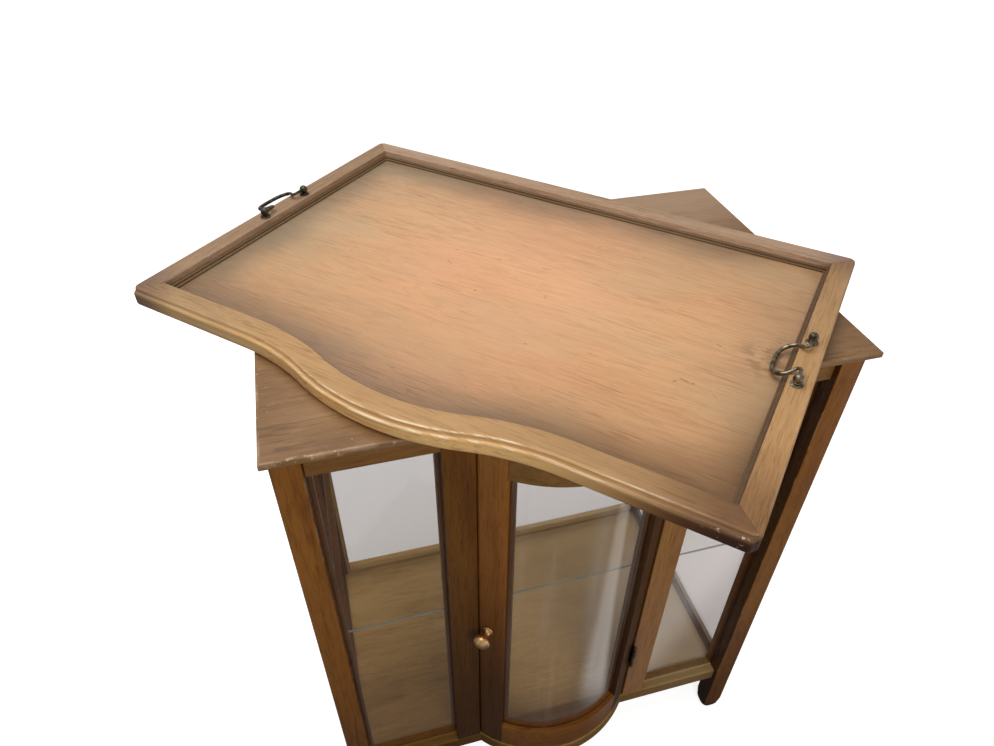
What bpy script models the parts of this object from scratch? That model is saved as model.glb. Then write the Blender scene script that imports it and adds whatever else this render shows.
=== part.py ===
"""Glazed bar cabinet with a bow-fronted door and a serpentine lift-off tray laid askew on its top.

Run with: blender --background --python part.py
The origin is on the floor under the middle of the tray. X runs right, Y to the back, Z up.
"""

import math

import bmesh
import bpy
from mathutils import Matrix, Vector

OBJECT_NAME = "bar_cabinet"
GAP = 0.0003

# Cabinet: X from its middle, Y from the straight front edge of the top board, Z from the floor
CABINET_X = 0.0333
CABINET_Y = -0.2190
HEIGHT = 0.822
TOP_WIDTH = 0.650
TOP_DEPTH = 0.407
TOP_THICK = 0.008
TOP_EDGE_ROUND = 0.0015
LEG_SIZE = 0.030
LEG_OUTER_X = 0.319
LEG_FRONT_Y = 0.012
LEG_BACK_Y = 0.401
LEG_EDGE_ROUND = 0.0015
FOOT_ROUND = 0.009
FOOT_STEPS = 4

# Front frame, set back from the faces of the legs
FRAME_FRONT_Y = 0.0195
FRAME_BACK_Y = 0.397
FRAME_SIDE_X = 0.315
FRAME_THICK = 0.026
SIDE_RAIL_THICK = 0.0207
TOP_RAIL_LOW_Z = 0.7755
POST_INNER_X = 0.1205
POST_OUTER_X = 0.156
BASE_LOW_Z = 0.100
BASE_TOP_Z = 0.126
BASE_EDGE_ROUND = 0.003

# Bowed front: every arc has one centre line
BOW_CENTRE_Y = 0.130
TOP_BOW_R = 0.173
BASE_BOW_R = 0.162
DOOR_OUTER_R = 0.1605
DOOR_INNER_R = 0.1425
ARC_STEPS = 24

# Glazing: panes sit in rebates against the front lip, with a bead behind
REBATE_WIDE = 0.0055
REBATE_DEPTH = 0.0133
LIP_THICK = 0.013
SIDE_LIP_THICK = 0.0078
GLASS_THICK = 0.003
BEAD_THICK = 0.009
BEAD_WIDE = 0.010
GROOVE_DEPTH = 0.004

# Shelf
SHELF_FRONT_Y = 0.054
SHELF_LOW_Z = 0.4418
SHELF_THICK = 0.005
SHELF_SIDE_CLEAR = 0.0011
CLEAT_SIZE = 0.010

# Door
DOOR_LOW_Z = 0.128
DOOR_TOP_Z = 0.774
DOOR_LEFT_X = -0.1190
DOOR_RIGHT_X = 0.1175
STILE_ANGLE = math.radians(35.0)
JOINT_ANGLE = math.radians(0.12)
DOOR_TOP_RAIL_LOW_Z = 0.738
DOOR_BOTTOM_RAIL_TOP_Z = 0.183
DOOR_LIP_THICK = 0.007
DOOR_REBATE_ANGLE = math.radians(2.1)
DOOR_GLASS_CLEAR_ANGLE = math.radians(0.3)
DOOR_BEAD_ANGLE = math.radians(3.9)
KNOB_ANGLE = math.radians(-42.8)
KNOB_Z = 0.438
KNOB_SCREW_R = 0.0018
KNOB_SCREW_HEAD_R = 0.0042
KNOB_SCREW_REACH = 0.008

# Hinges: knuckles stand in front of the gap between the door and the right post
HINGE_X = 0.1190
HINGE_Y = 0.0135
HINGE_LOW_Z = (0.235, 0.617)
HINGE_HIGH = 0.050
KNUCKLE_R = 0.0032
KNUCKLE_BORE_R = 0.0019
HINGE_PIN_R = 0.0016
HINGE_TIP_R = 0.0026
HINGE_TIP_HIGH = 0.0014
KNUCKLE_HIGH = 0.016
KNUCKLE_CLEAR = 0.0004
LEAF_THICK = 0.001
LEAF_BACK_Y = 0.0440
LEAF_TAB_START = 0.0022
LEAF_PLATE_START = 0.0036

# Catch
CATCH_X = -0.060
CATCH_R = 0.004
CATCH_DEEP = 0.012
CATCH_BALL_RISE = 0.0011
STRIKE_SIZE = 0.014
STRIKE_THICK = 0.0012
STRIKE_HOLE_R = 0.0035

# Tray: U along its length, V to its back, Z from the top board
TRAY_TURN = math.radians(-44.22)
TRAY_WIDTH = 0.7072
TRAY_DEPTH = 0.4761
TRAY_HIGH = 0.0223
RIM_WIDE = 0.0245
RIM_STEP_OUT = 0.0046
RIM_STEP_Z = 0.0186
RIM_CORNER_R = 0.010
RIM_BULLNOSE = 0.0065
RIM_STEP_ROUND = 0.0015
RIM_TOP_ROUND = 0.0009
SERPENTINE_DEPTH = 0.0325
SERPENTINE_HALF = 0.186
SERPENTINE_STEPS = 9
PANEL_TOP_Z = 0.0097
PANEL_THICK = 0.006
PANEL_TONGUE = 0.008
TRAY_BEAD_WIDE = 0.006
TRAY_BEAD_HIGH = 0.005
TRAY_BEAD_STEP_WIDE = 0.0032
TRAY_BEAD_STEP_HIGH = 0.0024

# Handles
POST_U = 0.3385
POST_V = 0.038
PIVOT_RISE = 0.0075
POST_BALL_R = 0.0052
POST_FOOT_R = 0.0064
POST_FOOT_HIGH = 0.0020
POST_NECK_R = 0.0036
BAIL_WIRE_R = 0.0018
BAIL_HOLE_R = 0.0023
BAIL_HOLE_DEEP = 0.0048
BAIL_END_V = 0.0352
BAIL_IN_ANGLE = math.radians(28.8)
BAIL_OUT_ANGLE = math.radians(19.3)
BAIL_HALF = ((0.0290, 0.0), (0.0222, 0.0004), (0.0195, 0.0045), (0.0230, 0.0092), (0.0262, 0.0150),
             (0.0250, 0.0230), (0.0195, 0.0290), (0.0100, 0.0318), (0.0, 0.0320))
BAIL_STEPS = 3

# Worked out from the driving dimensions
TOP_UNDER_Z = HEIGHT - TOP_THICK - GAP
LEG_INNER_X = LEG_OUTER_X - LEG_SIZE
FRONT_LEG_BACK_Y = LEG_FRONT_Y + LEG_SIZE
BACK_LEG_FRONT_Y = LEG_BACK_Y - LEG_SIZE
PANE_LOW_Z = BASE_TOP_Z - GROOVE_DEPTH
PANE_TOP_Z = TOP_RAIL_LOW_Z + REBATE_WIDE
PIVOT_Z = TRAY_HIGH + PIVOT_RISE
SERPENTINE_R = (SERPENTINE_HALF ** 2 + SERPENTINE_DEPTH ** 2) / (4 * SERPENTINE_DEPTH)
SERPENTINE_ANGLE = math.asin(SERPENTINE_HALF / 2 / SERPENTINE_R)

COLOURS = {
    "top_wood": ((0.235, 0.140, 0.082), 0.45, 0.0),
    "frame_wood": ((0.170, 0.075, 0.024), 0.40, 0.0),
    "base_wood": ((0.230, 0.120, 0.045), 0.42, 0.0),
    "rim_wood": ((0.400, 0.225, 0.095), 0.40, 0.0),
    "panel_wood": ((0.560, 0.320, 0.160), 0.42, 0.0),
    "glass": ((0.86, 0.90, 0.88), 0.02, 0.0),
    "bronze": ((0.120, 0.095, 0.065), 0.38, 1.0),
    "brass": ((0.480, 0.330, 0.140), 0.35, 1.0),
}


def clear_scene():
    for obj in list(bpy.data.objects):
        bpy.data.objects.remove(obj, do_unlink=True)


def new_collection(name):
    collection = bpy.data.collections.new(name)
    bpy.context.scene.collection.children.link(collection)
    return collection


clear_scene()
PARTS = new_collection(OBJECT_NAME)
CUTTERS = new_collection("cutters")


def empty(name, place, parent=None, turn=0.0):
    obj = bpy.data.objects.new(name, None)
    obj.location = place
    obj.rotation_euler = (0.0, 0.0, turn)
    obj.parent = parent
    PARTS.objects.link(obj)
    return obj


CABINET = empty("cabinet_origin", (CABINET_X, CABINET_Y, 0.0))
DOOR_AXIS = empty("door_axis", (HINGE_X, HINGE_Y, 0.0), CABINET)
TRAY = empty("tray_origin", (0.0, 0.0, HEIGHT), None, TRAY_TURN)
BAIL_AXES = {side: empty(f"bail_axis_{side}", (sign * POST_U, 0.0, PIVOT_Z), TRAY)
             for side, sign in (("left", -1), ("right", 1))}


def material(name, finish):
    colour, roughness, metallic = COLOURS[finish]
    mat = bpy.data.materials.new(name)
    mat.use_nodes = True
    shader = mat.node_tree.nodes["Principled BSDF"]
    shader.inputs["Base Color"].default_value = (*colour, 1.0)
    shader.inputs["Roughness"].default_value = roughness
    shader.inputs["Metallic"].default_value = metallic
    if finish == "glass":
        shader.inputs["Transmission Weight"].default_value = 1.0
    return mat


def place(bm, name, parent, collection):
    """Store a mesh that is drawn in its frame's coordinates; a hinged piece is shifted to its axis."""
    mesh = bpy.data.meshes.new(name)
    bmesh.ops.recalc_face_normals(bm, faces=bm.faces)
    bm.to_mesh(mesh)
    bm.free()
    if parent is not None and parent.parent is not None:
        mesh.transform(Matrix.Translation(-Vector(parent.location)))
    obj = bpy.data.objects.new(name, mesh)
    obj.parent = parent
    collection.objects.link(obj)
    return obj


def piece(bm, name, finish, parent, smooth=False):
    obj = place(bm, name, parent, PARTS)
    obj.data.materials.append(material(name, finish))
    if smooth:
        obj.data.shade_smooth()
        obj.data.set_sharp_from_angle(angle=math.radians(35))
    return obj


def cutter(bm, name, parent):
    obj = place(bm, name, parent, CUTTERS)
    obj.hide_render = True
    obj.display_type = "WIRE"
    return obj


def combine(obj, tool, operation="DIFFERENCE"):
    modifier = obj.modifiers.new(f"{operation.lower()}_{tool.name}", "BOOLEAN")
    modifier.operation = operation
    modifier.object = tool


def box(low, high, edge_round=0.0):
    bm = bmesh.new()
    bmesh.ops.create_cube(bm, size=1.0)
    size = [b - a for a, b in zip(low, high)]
    middle = [(a + b) / 2 for a, b in zip(low, high)]
    bmesh.ops.scale(bm, vec=size, verts=bm.verts)
    bmesh.ops.translate(bm, vec=middle, verts=bm.verts)
    if edge_round:
        bmesh.ops.bevel(bm, geom=list(bm.edges), offset=edge_round, segments=2, profile=0.5, affect="EDGES")
    return bm


def mirrored_box(side, low, high, edge_round=0.0):
    """A box given for the right-hand side, or its mirror image on the left."""
    if side == "left":
        low, high = (-high[0], low[1], low[2]), (-low[0], high[1], high[2])
    return box(low, high, edge_round)


def prism(outline, low_z, high_z):
    """A flat outline as an extruded 2D curve; each open end is closed with one flat face."""
    curve = bpy.data.curves.new("outline", "CURVE")
    curve.dimensions = "2D"
    curve.fill_mode = "NONE"
    curve.extrude = (high_z - low_z) / 2
    spline = curve.splines.new("POLY")
    spline.points.add(len(outline) - 1)
    for point, (x, y) in zip(spline.points, outline):
        point.co = (x, y, 0.0, 1.0)
    spline.use_cyclic_u = True
    obj = bpy.data.objects.new("outline", curve)
    CUTTERS.objects.link(obj)
    bpy.context.view_layer.update()
    mesh = bpy.data.meshes.new_from_object(obj.evaluated_get(bpy.context.evaluated_depsgraph_get()))
    bpy.data.objects.remove(obj, do_unlink=True)
    bm = bmesh.new()
    bm.from_mesh(mesh)
    bpy.data.meshes.remove(mesh)
    bmesh.ops.remove_doubles(bm, verts=bm.verts, dist=1e-6)
    bmesh.ops.holes_fill(bm, edges=[edge for edge in bm.edges if edge.is_boundary], sides=0)
    bmesh.ops.recalc_face_normals(bm, faces=bm.faces)
    bmesh.ops.translate(bm, vec=(0.0, 0.0, (low_z + high_z) / 2), verts=bm.verts)
    return bm


def round_edges(bm, chosen, radius, segments=2):
    edges = [edge for edge in bm.edges if chosen(edge)]
    bmesh.ops.bevel(bm, geom=edges, offset=radius, segments=segments, profile=0.5, affect="EDGES")


def level(edge, z):
    return all(abs(vert.co.z - z) < 1e-5 for vert in edge.verts)


def turned(profile, steps=20):
    """A profile of (radius, height), top to bottom at +X, spun about Z by a Screw modifier."""
    bm = bmesh.new()
    verts = [bm.verts.new((radius, 0.0, height)) for radius, height in profile]
    for first, second in zip(verts, verts[1:]):
        bm.edges.new((first, second))
    mesh = bpy.data.meshes.new("profile")
    bm.to_mesh(mesh)
    bm.free()
    obj = bpy.data.objects.new("profile", mesh)
    CUTTERS.objects.link(obj)
    screw = obj.modifiers.new("spin", "SCREW")
    screw.steps = steps
    screw.render_steps = steps
    screw.use_merge_vertices = True
    screw.merge_threshold = 0.00005
    bpy.context.view_layer.update()
    spun = bpy.data.meshes.new_from_object(obj.evaluated_get(bpy.context.evaluated_depsgraph_get()))
    bpy.data.objects.remove(obj, do_unlink=True)
    result = bmesh.new()
    result.from_mesh(spun)
    bpy.data.meshes.remove(spun)
    bmesh.ops.remove_doubles(result, verts=result.verts, dist=1e-6)
    bmesh.ops.recalc_face_normals(result, faces=result.faces)
    return result


def moved(bm, matrix):
    bmesh.ops.transform(bm, matrix=matrix, verts=bm.verts)
    return bm


def rod(radius, start, end, sides=16):
    """A cylinder between two points."""
    start = Vector(start)
    along = Vector(end) - start
    bm = bmesh.new()
    bmesh.ops.create_cone(bm, cap_ends=True, segments=sides, radius1=radius, radius2=radius,
                          depth=along.length)
    turn = along.to_track_quat("Z", "Y").to_matrix().to_4x4()
    return moved(bm, Matrix.Translation(start + along / 2) @ turn)


def bow_arc(radius, first, last, steps=ARC_STEPS):
    """Points on the bowed front; angle 0 is the middle of the front and positive runs right."""
    return [(radius * math.sin(first + (last - first) * i / steps),
             BOW_CENTRE_Y - radius * math.cos(first + (last - first) * i / steps))
            for i in range(steps + 1)]


def bow_sector(outer_r, inner_r, outer_angles, inner_angles=None, steps=ARC_STEPS):
    inner_angles = inner_angles or outer_angles
    return (bow_arc(outer_r, *outer_angles, steps)
            + bow_arc(inner_r, inner_angles[1], inner_angles[0], steps))


def angle_at(radius, x):
    return math.asin(x / radius)


# Legs
def rounded_square(half, radius, steps=2):
    points = []
    for quarter in range(4):
        start = quarter * math.pi / 2
        corner_x = (half - radius) * (1 if quarter in (0, 3) else -1)
        corner_y = (half - radius) * (1 if quarter in (0, 1) else -1)
        for i in range(steps + 1):
            angle = start + i / steps * math.pi / 2
            points.append((corner_x + radius * math.cos(angle), corner_y + radius * math.sin(angle)))
    return points


def leg(x, y):
    """A square shaft whose lower end is drawn in along a quarter circle."""
    half = LEG_SIZE / 2
    levels = [(TOP_UNDER_Z, half)]
    for i in range(FOOT_STEPS + 1):
        angle = i / FOOT_STEPS * math.pi / 2
        levels.append((FOOT_ROUND * (1 - math.sin(angle)), half - FOOT_ROUND * (1 - math.cos(angle))))
    bm = bmesh.new()
    outline = rounded_square(half, LEG_EDGE_ROUND)
    ring = [bm.verts.new((px, py, levels[0][0])) for px, py in outline]
    bm.faces.new(ring)
    edges = [edge for edge in bm.edges]
    for z, reach in levels[1:]:
        extruded = bmesh.ops.extrude_edge_only(bm, edges=edges)["geom"]
        edges = [item for item in extruded if isinstance(item, bmesh.types.BMEdge)]
        new_verts = {vert for edge in edges for vert in edge.verts}
        for vert in new_verts:
            scale = reach / max(abs(vert.co.x), abs(vert.co.y)) if level_square(vert) else 1.0
            vert.co = (vert.co.x * scale, vert.co.y * scale, z)
    bmesh.ops.contextual_create(bm, geom=edges)
    bmesh.ops.translate(bm, vec=(x, y, 0.0), verts=bm.verts)
    return bm


def level_square(vert):
    return max(abs(vert.co.x), abs(vert.co.y)) > 0.0


def build_legs(rebates):
    x = LEG_OUTER_X - LEG_SIZE / 2
    rows = (("front", LEG_FRONT_Y + LEG_SIZE / 2), ("back", LEG_BACK_Y - LEG_SIZE / 2))
    for row, y in rows:
        for side, sign in (("left", -1), ("right", 1)):
            obj = piece(leg(sign * x, y), f"leg_{row}_{side}", "frame_wood", CABINET)
            combine(obj, rebates[f"front_{side}" if row == "front" else "back"])
            combine(obj, rebates[side])


# Rebates that the panes and their beads stand in
def build_rebates():
    rebates = {}
    front_low = FRAME_FRONT_Y + LIP_THICK
    side_high = FRAME_SIDE_X - SIDE_LIP_THICK
    back_high = FRAME_BACK_Y - LIP_THICK
    for side in ("left", "right"):
        rebates[f"front_{side}"] = cutter(
            mirrored_box(side, (POST_OUTER_X - REBATE_WIDE, front_low, PANE_LOW_Z),
                         (LEG_INNER_X + REBATE_WIDE, front_low + REBATE_DEPTH, PANE_TOP_Z)),
            f"rebate_front_{side}", CABINET)
        rebates[side] = cutter(
            mirrored_box(side, (side_high - REBATE_DEPTH - GAP, FRONT_LEG_BACK_Y - REBATE_WIDE, PANE_LOW_Z),
                         (side_high, BACK_LEG_FRONT_Y + REBATE_WIDE, PANE_TOP_Z)),
            f"rebate_{side}", CABINET)
    rebates["back"] = cutter(
        box((-LEG_INNER_X - REBATE_WIDE, back_high - REBATE_DEPTH - GAP, PANE_LOW_Z),
            (LEG_INNER_X + REBATE_WIDE, back_high, PANE_TOP_Z)), "rebate_back", CABINET)
    return rebates


# Posts and rails
def build_frame(rebates):
    edge = 0.001
    rail_z = (TOP_RAIL_LOW_Z, TOP_UNDER_Z)
    for side in ("left", "right"):
        post = piece(mirrored_box(side, (POST_INNER_X, FRAME_FRONT_Y, BASE_TOP_Z + GAP),
                                  (POST_OUTER_X, FRAME_FRONT_Y + FRAME_THICK, TOP_UNDER_Z), edge),
                     f"post_{side}", "frame_wood", CABINET)
        combine(post, rebates[f"front_{side}"])
        front = piece(mirrored_box(side, (POST_OUTER_X + GAP, FRAME_FRONT_Y, rail_z[0]),
                                   (LEG_INNER_X - GAP, FRAME_FRONT_Y + FRAME_THICK, rail_z[1]), edge),
                      f"top_rail_front_{side}", "frame_wood", CABINET)
        combine(front, rebates[f"front_{side}"])
        end = piece(mirrored_box(side, (FRAME_SIDE_X - SIDE_RAIL_THICK, FRONT_LEG_BACK_Y + GAP, rail_z[0]),
                                 (FRAME_SIDE_X, BACK_LEG_FRONT_Y - GAP, rail_z[1]), edge),
                    f"top_rail_{side}", "frame_wood", CABINET)
        combine(end, rebates[side])
    back = piece(box((-LEG_INNER_X + GAP, FRAME_BACK_Y - FRAME_THICK, rail_z[0]),
                     (LEG_INNER_X - GAP, FRAME_BACK_Y, rail_z[1]), edge),
                 "top_rail_back", "frame_wood", CABINET)
    combine(back, rebates["back"])


def build_bowed_rail():
    """The fixed rail over the door, with a shallow recess for the catch's strike plate."""
    end_x = POST_INNER_X - GAP
    outer = angle_at(DOOR_OUTER_R, end_x)
    inner = angle_at(DOOR_INNER_R, end_x)
    bm = prism(bow_sector(DOOR_OUTER_R, DOOR_INNER_R, (-outer, outer), (-inner, inner)),
               TOP_RAIL_LOW_Z, TOP_UNDER_Z)
    rail = piece(bm, "top_rail_bow", "frame_wood", CABINET)
    x, y = catch_place()
    half = STRIKE_SIZE / 2
    recess = cutter(box((x - half - GAP, y - half - GAP, TOP_RAIL_LOW_Z - 0.001),
                        (x + half + GAP, y + half + GAP, TOP_RAIL_LOW_Z + STRIKE_THICK + GAP)),
                    "strike_recess", CABINET)
    combine(rail, recess)
    plate_high = (x + half, y + half, TOP_RAIL_LOW_Z + STRIKE_THICK)
    plate = piece(box((x - half, y - half, TOP_RAIL_LOW_Z), plate_high), "catch_strike", "brass", CABINET)
    hole = cutter(rod(STRIKE_HOLE_R, (x, y, TOP_RAIL_LOW_Z - 0.001), (x, y, TOP_RAIL_LOW_Z + 0.003)),
                  "strike_hole", CABINET)
    combine(plate, hole)


def catch_place():
    middle_r = (DOOR_OUTER_R + DOOR_INNER_R) / 2
    angle = angle_at(middle_r, CATCH_X)
    return CATCH_X, BOW_CENTRE_Y - middle_r * math.cos(angle)


def build_top_board():
    reach = math.acos(BOW_CENTRE_Y / TOP_BOW_R)
    half = TOP_WIDTH / 2
    front = bow_arc(TOP_BOW_R, -reach, reach)
    outline = [(-half, TOP_DEPTH), (-half, 0.0), *front, (half, 0.0), (half, TOP_DEPTH)]
    bm = prism(outline, HEIGHT - TOP_THICK, HEIGHT)
    round_edges(bm, lambda e: level(e, HEIGHT) or level(e, HEIGHT - TOP_THICK), TOP_EDGE_ROUND)
    piece(bm, "top_board", "top_wood", CABINET)


def build_base(rebates):
    """A board with a bowed front, notched round the legs and grooved for the panes."""
    reach = math.acos((BOW_CENTRE_Y - FRAME_FRONT_Y) / BASE_BOW_R)
    x_in = LEG_INNER_X - GAP
    y_front = FRONT_LEG_BACK_Y + GAP
    y_back = BACK_LEG_FRONT_Y - GAP
    right = [(x_in, FRAME_FRONT_Y), (x_in, y_front), (FRAME_SIDE_X, y_front), (FRAME_SIDE_X, y_back),
             (x_in, y_back), (x_in, FRAME_BACK_Y)]
    left = [(-x, y) for x, y in reversed(right)]
    bm = prism(bow_arc(BASE_BOW_R, -reach, reach) + right + left, BASE_LOW_Z, BASE_TOP_Z)

    def front_edge(edge):
        on_front = all(vert.co.y < FRAME_FRONT_Y + 1e-5 for vert in edge.verts)
        return on_front and (level(edge, BASE_LOW_Z) or level(edge, BASE_TOP_Z))

    round_edges(bm, front_edge, BASE_EDGE_ROUND)
    base = piece(bm, "base_board", "base_wood", CABINET)
    for rebate in rebates.values():
        combine(base, rebate)


# Panes and beads
def pane_boxes():
    """Each pane's box, and its bead's box, by name."""
    clear = 0.0005
    low_z = PANE_LOW_Z + GAP
    high_z = PANE_TOP_Z - clear
    x_in = POST_OUTER_X - REBATE_WIDE + clear
    x_out = LEG_INNER_X + REBATE_WIDE - clear
    front = FRAME_FRONT_Y + LIP_THICK + GAP
    side = FRAME_SIDE_X - SIDE_LIP_THICK - GAP
    back = FRAME_BACK_Y - LIP_THICK - GAP
    y_low = FRONT_LEG_BACK_Y - REBATE_WIDE + clear
    y_high = BACK_LEG_FRONT_Y + REBATE_WIDE - clear
    step = GLASS_THICK + GAP
    boxes = {
        "front": (((x_in, front, low_z), (x_out, front + GLASS_THICK, high_z)),
                  ((x_in, front + step, low_z), (x_out, front + step + BEAD_THICK, high_z))),
        "side": (((side - GLASS_THICK, y_low, low_z), (side, y_high, high_z)),
                 ((side - step - BEAD_THICK, y_low, low_z), (side - step, y_high, high_z))),
        "back": (((-x_out, back - GLASS_THICK, low_z), (x_out, back, high_z)),
                 ((-x_out, back - step - BEAD_THICK, low_z), (x_out, back - step, high_z))),
    }
    return boxes


def bead_frame(side, low, high, name):
    """A rectangular ring: a bead box with its middle cut out."""
    obj = piece(mirrored_box(side, low, high), name, "frame_wood", CABINET)
    across = 0 if high[0] - low[0] > high[1] - low[1] else 1
    inner_low = list(low)
    inner_high = list(high)
    for axis in (across, 2):
        inner_low[axis] += BEAD_WIDE
        inner_high[axis] -= BEAD_WIDE
    inner_low[1 - across] -= 0.002
    inner_high[1 - across] += 0.002
    combine(obj, cutter(mirrored_box(side, tuple(inner_low), tuple(inner_high)), f"{name}_hole", CABINET))


def build_panes():
    boxes = pane_boxes()
    for kind, (glass, bead) in boxes.items():
        for side in ("left", "right") if kind != "back" else ("",):
            name = {"front": f"front_{side}", "side": side, "back": "back"}[kind]
            piece(mirrored_box(side, *glass), f"glass_{name}", "glass", CABINET)
            bead_frame(side, *bead, f"bead_{name}")
    bead_inner_x = boxes["side"][1][0][0]
    bead_back_y = boxes["front"][1][1][1]
    back_bead_y = boxes["back"][1][0][1]
    cleat_high = (bead_inner_x - GAP, back_bead_y - GAP, SHELF_LOW_Z - GAP)
    cleat_low = (cleat_high[0] - CLEAT_SIZE, bead_back_y + GAP, cleat_high[2] - CLEAT_SIZE)
    for side in ("left", "right"):
        cleat = mirrored_box(side, cleat_low, cleat_high, 0.001)
        piece(cleat, f"shelf_cleat_{side}", "frame_wood", CABINET)
    half = bead_inner_x - SHELF_SIDE_CLEAR
    shelf_high = (half, back_bead_y - 0.0014, SHELF_LOW_Z + SHELF_THICK)
    piece(box((-half, SHELF_FRONT_Y, SHELF_LOW_Z), shelf_high, 0.0008), "shelf_glass", "glass", CABINET)


# Door
def build_door():
    rebate_r = DOOR_OUTER_R - DOOR_LIP_THICK
    rebate_angle = STILE_ANGLE + DOOR_REBATE_ANGLE
    low_z = DOOR_BOTTOM_RAIL_TOP_Z - REBATE_WIDE
    high_z = DOOR_TOP_RAIL_LOW_Z + REBATE_WIDE
    outline = bow_sector(rebate_r, DOOR_INNER_R - 0.001, (-rebate_angle, rebate_angle))
    rebate = cutter(prism(outline, low_z, high_z), "door_rebate", DOOR_AXIS)
    stiles = {}
    for side, end_x, sign in (("left", -DOOR_LEFT_X, -1), ("right", DOOR_RIGHT_X, 1)):
        outer = angle_at(DOOR_OUTER_R, end_x)
        inner = angle_at(DOOR_INNER_R, end_x)
        outline = bow_sector(DOOR_OUTER_R, DOOR_INNER_R, (STILE_ANGLE, outer), (STILE_ANGLE, inner), 6)
        stile = piece(prism([(sign * x, y) for x, y in outline], DOOR_LOW_Z, DOOR_TOP_Z),
                      f"door_stile_{side}", "frame_wood", DOOR_AXIS)
        combine(stile, rebate)
        stiles[side] = stile
    rail_angle = STILE_ANGLE - JOINT_ANGLE
    rails = (("top", DOOR_TOP_RAIL_LOW_Z, DOOR_TOP_Z), ("bottom", DOOR_LOW_Z, DOOR_BOTTOM_RAIL_TOP_Z))
    for name, rail_low, rail_high in rails:
        outline = bow_sector(DOOR_OUTER_R, DOOR_INNER_R, (-rail_angle, rail_angle))
        rail = piece(prism(outline, rail_low, rail_high), f"door_rail_{name}", "frame_wood", DOOR_AXIS)
        combine(rail, rebate)
        if name == "top":
            build_catch(rail)
    glass_angle = rebate_angle - DOOR_GLASS_CLEAR_ANGLE
    glass_r = rebate_r - GAP
    clear = 0.0005
    piece(prism(bow_sector(glass_r, glass_r - GLASS_THICK, (-glass_angle, glass_angle)),
                low_z + clear, high_z - clear), "door_glass", "glass", DOOR_AXIS, smooth=True)
    bead_r = glass_r - GLASS_THICK - GAP
    bead = piece(prism(bow_sector(bead_r, DOOR_INNER_R + GAP, (-glass_angle, glass_angle)),
                       low_z + clear, high_z - clear), "door_bead", "frame_wood", DOOR_AXIS)
    hole_angle = glass_angle - DOOR_BEAD_ANGLE
    hole = cutter(prism(bow_sector(bead_r + 0.002, DOOR_INNER_R - 0.002, (-hole_angle, hole_angle)),
                        low_z + clear + BEAD_WIDE, high_z - clear - BEAD_WIDE), "door_bead_hole", DOOR_AXIS)
    combine(bead, hole)
    build_knob(stiles["left"])


def build_catch(rail):
    """A ball catch let into the top edge of the door."""
    x, y = catch_place()
    profile = [(0.0, CATCH_BALL_RISE)]
    ball_r = 0.0026
    for i in range(1, 4):
        angle = i / 4 * math.pi / 2
        profile.append((ball_r * math.sin(angle), CATCH_BALL_RISE * math.cos(angle)))
    profile += [(ball_r, 0.0), (CATCH_R, 0.0), (CATCH_R, -CATCH_DEEP), (0.0, -CATCH_DEEP)]
    seat = Matrix.Translation((x, y, DOOR_TOP_Z))
    piece(moved(turned(profile, 16), seat), "catch_ball", "brass", DOOR_AXIS, smooth=True)
    bottom = (x, y, DOOR_TOP_Z - CATCH_DEEP - GAP)
    combine(rail, cutter(rod(CATCH_R + GAP, bottom, (x, y, DOOR_TOP_Z + 0.002)), "catch_socket", DOOR_AXIS))


def build_knob(stile):
    """A turned mushroom knob, square to the bowed face, and the screw that holds it from inside."""
    outward = Vector((math.sin(KNOB_ANGLE), -math.cos(KNOB_ANGLE), 0.0))
    face = Vector((0.0, BOW_CENTRE_Y, KNOB_Z)) + outward * DOOR_OUTER_R
    turn = outward.to_track_quat("Z", "Y").to_matrix().to_4x4()
    seat = Matrix.Translation(face) @ turn
    head = [(0.0, 0.0262), (0.0035, 0.0260), (0.0068, 0.0249), (0.0094, 0.0228), (0.0108, 0.0198),
            (0.0109, 0.0172), (0.0096, 0.0150), (0.0072, 0.0132), (0.0050, 0.0112), (0.0043, 0.0085),
            (0.0046, 0.0055), (0.0060, 0.0030), (0.0072, 0.0020), (0.0074, 0.0008), (0.0, 0.0008)]
    knob = piece(moved(turned(head), seat), "door_knob", "brass", DOOR_AXIS, smooth=True)
    thick = DOOR_OUTER_R - DOOR_INNER_R
    bore_start = face - outward * (thick + 0.004)
    bore_end = face + outward * (KNOB_SCREW_REACH + GAP)
    bore = cutter(rod(KNOB_SCREW_R + GAP, bore_start, bore_end), "knob_screw_bore", DOOR_AXIS)
    combine(knob, bore)
    combine(stile, bore)
    under = -thick - 0.0005
    screw = [(0.0, KNOB_SCREW_REACH), (KNOB_SCREW_R, KNOB_SCREW_REACH), (KNOB_SCREW_R, under),
             (KNOB_SCREW_HEAD_R, under), (KNOB_SCREW_HEAD_R * 0.8, under - 0.0014), (0.0, under - 0.002)]
    piece(moved(turned(screw, 16), seat), "knob_screw", "brass", DOOR_AXIS, smooth=True)


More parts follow.
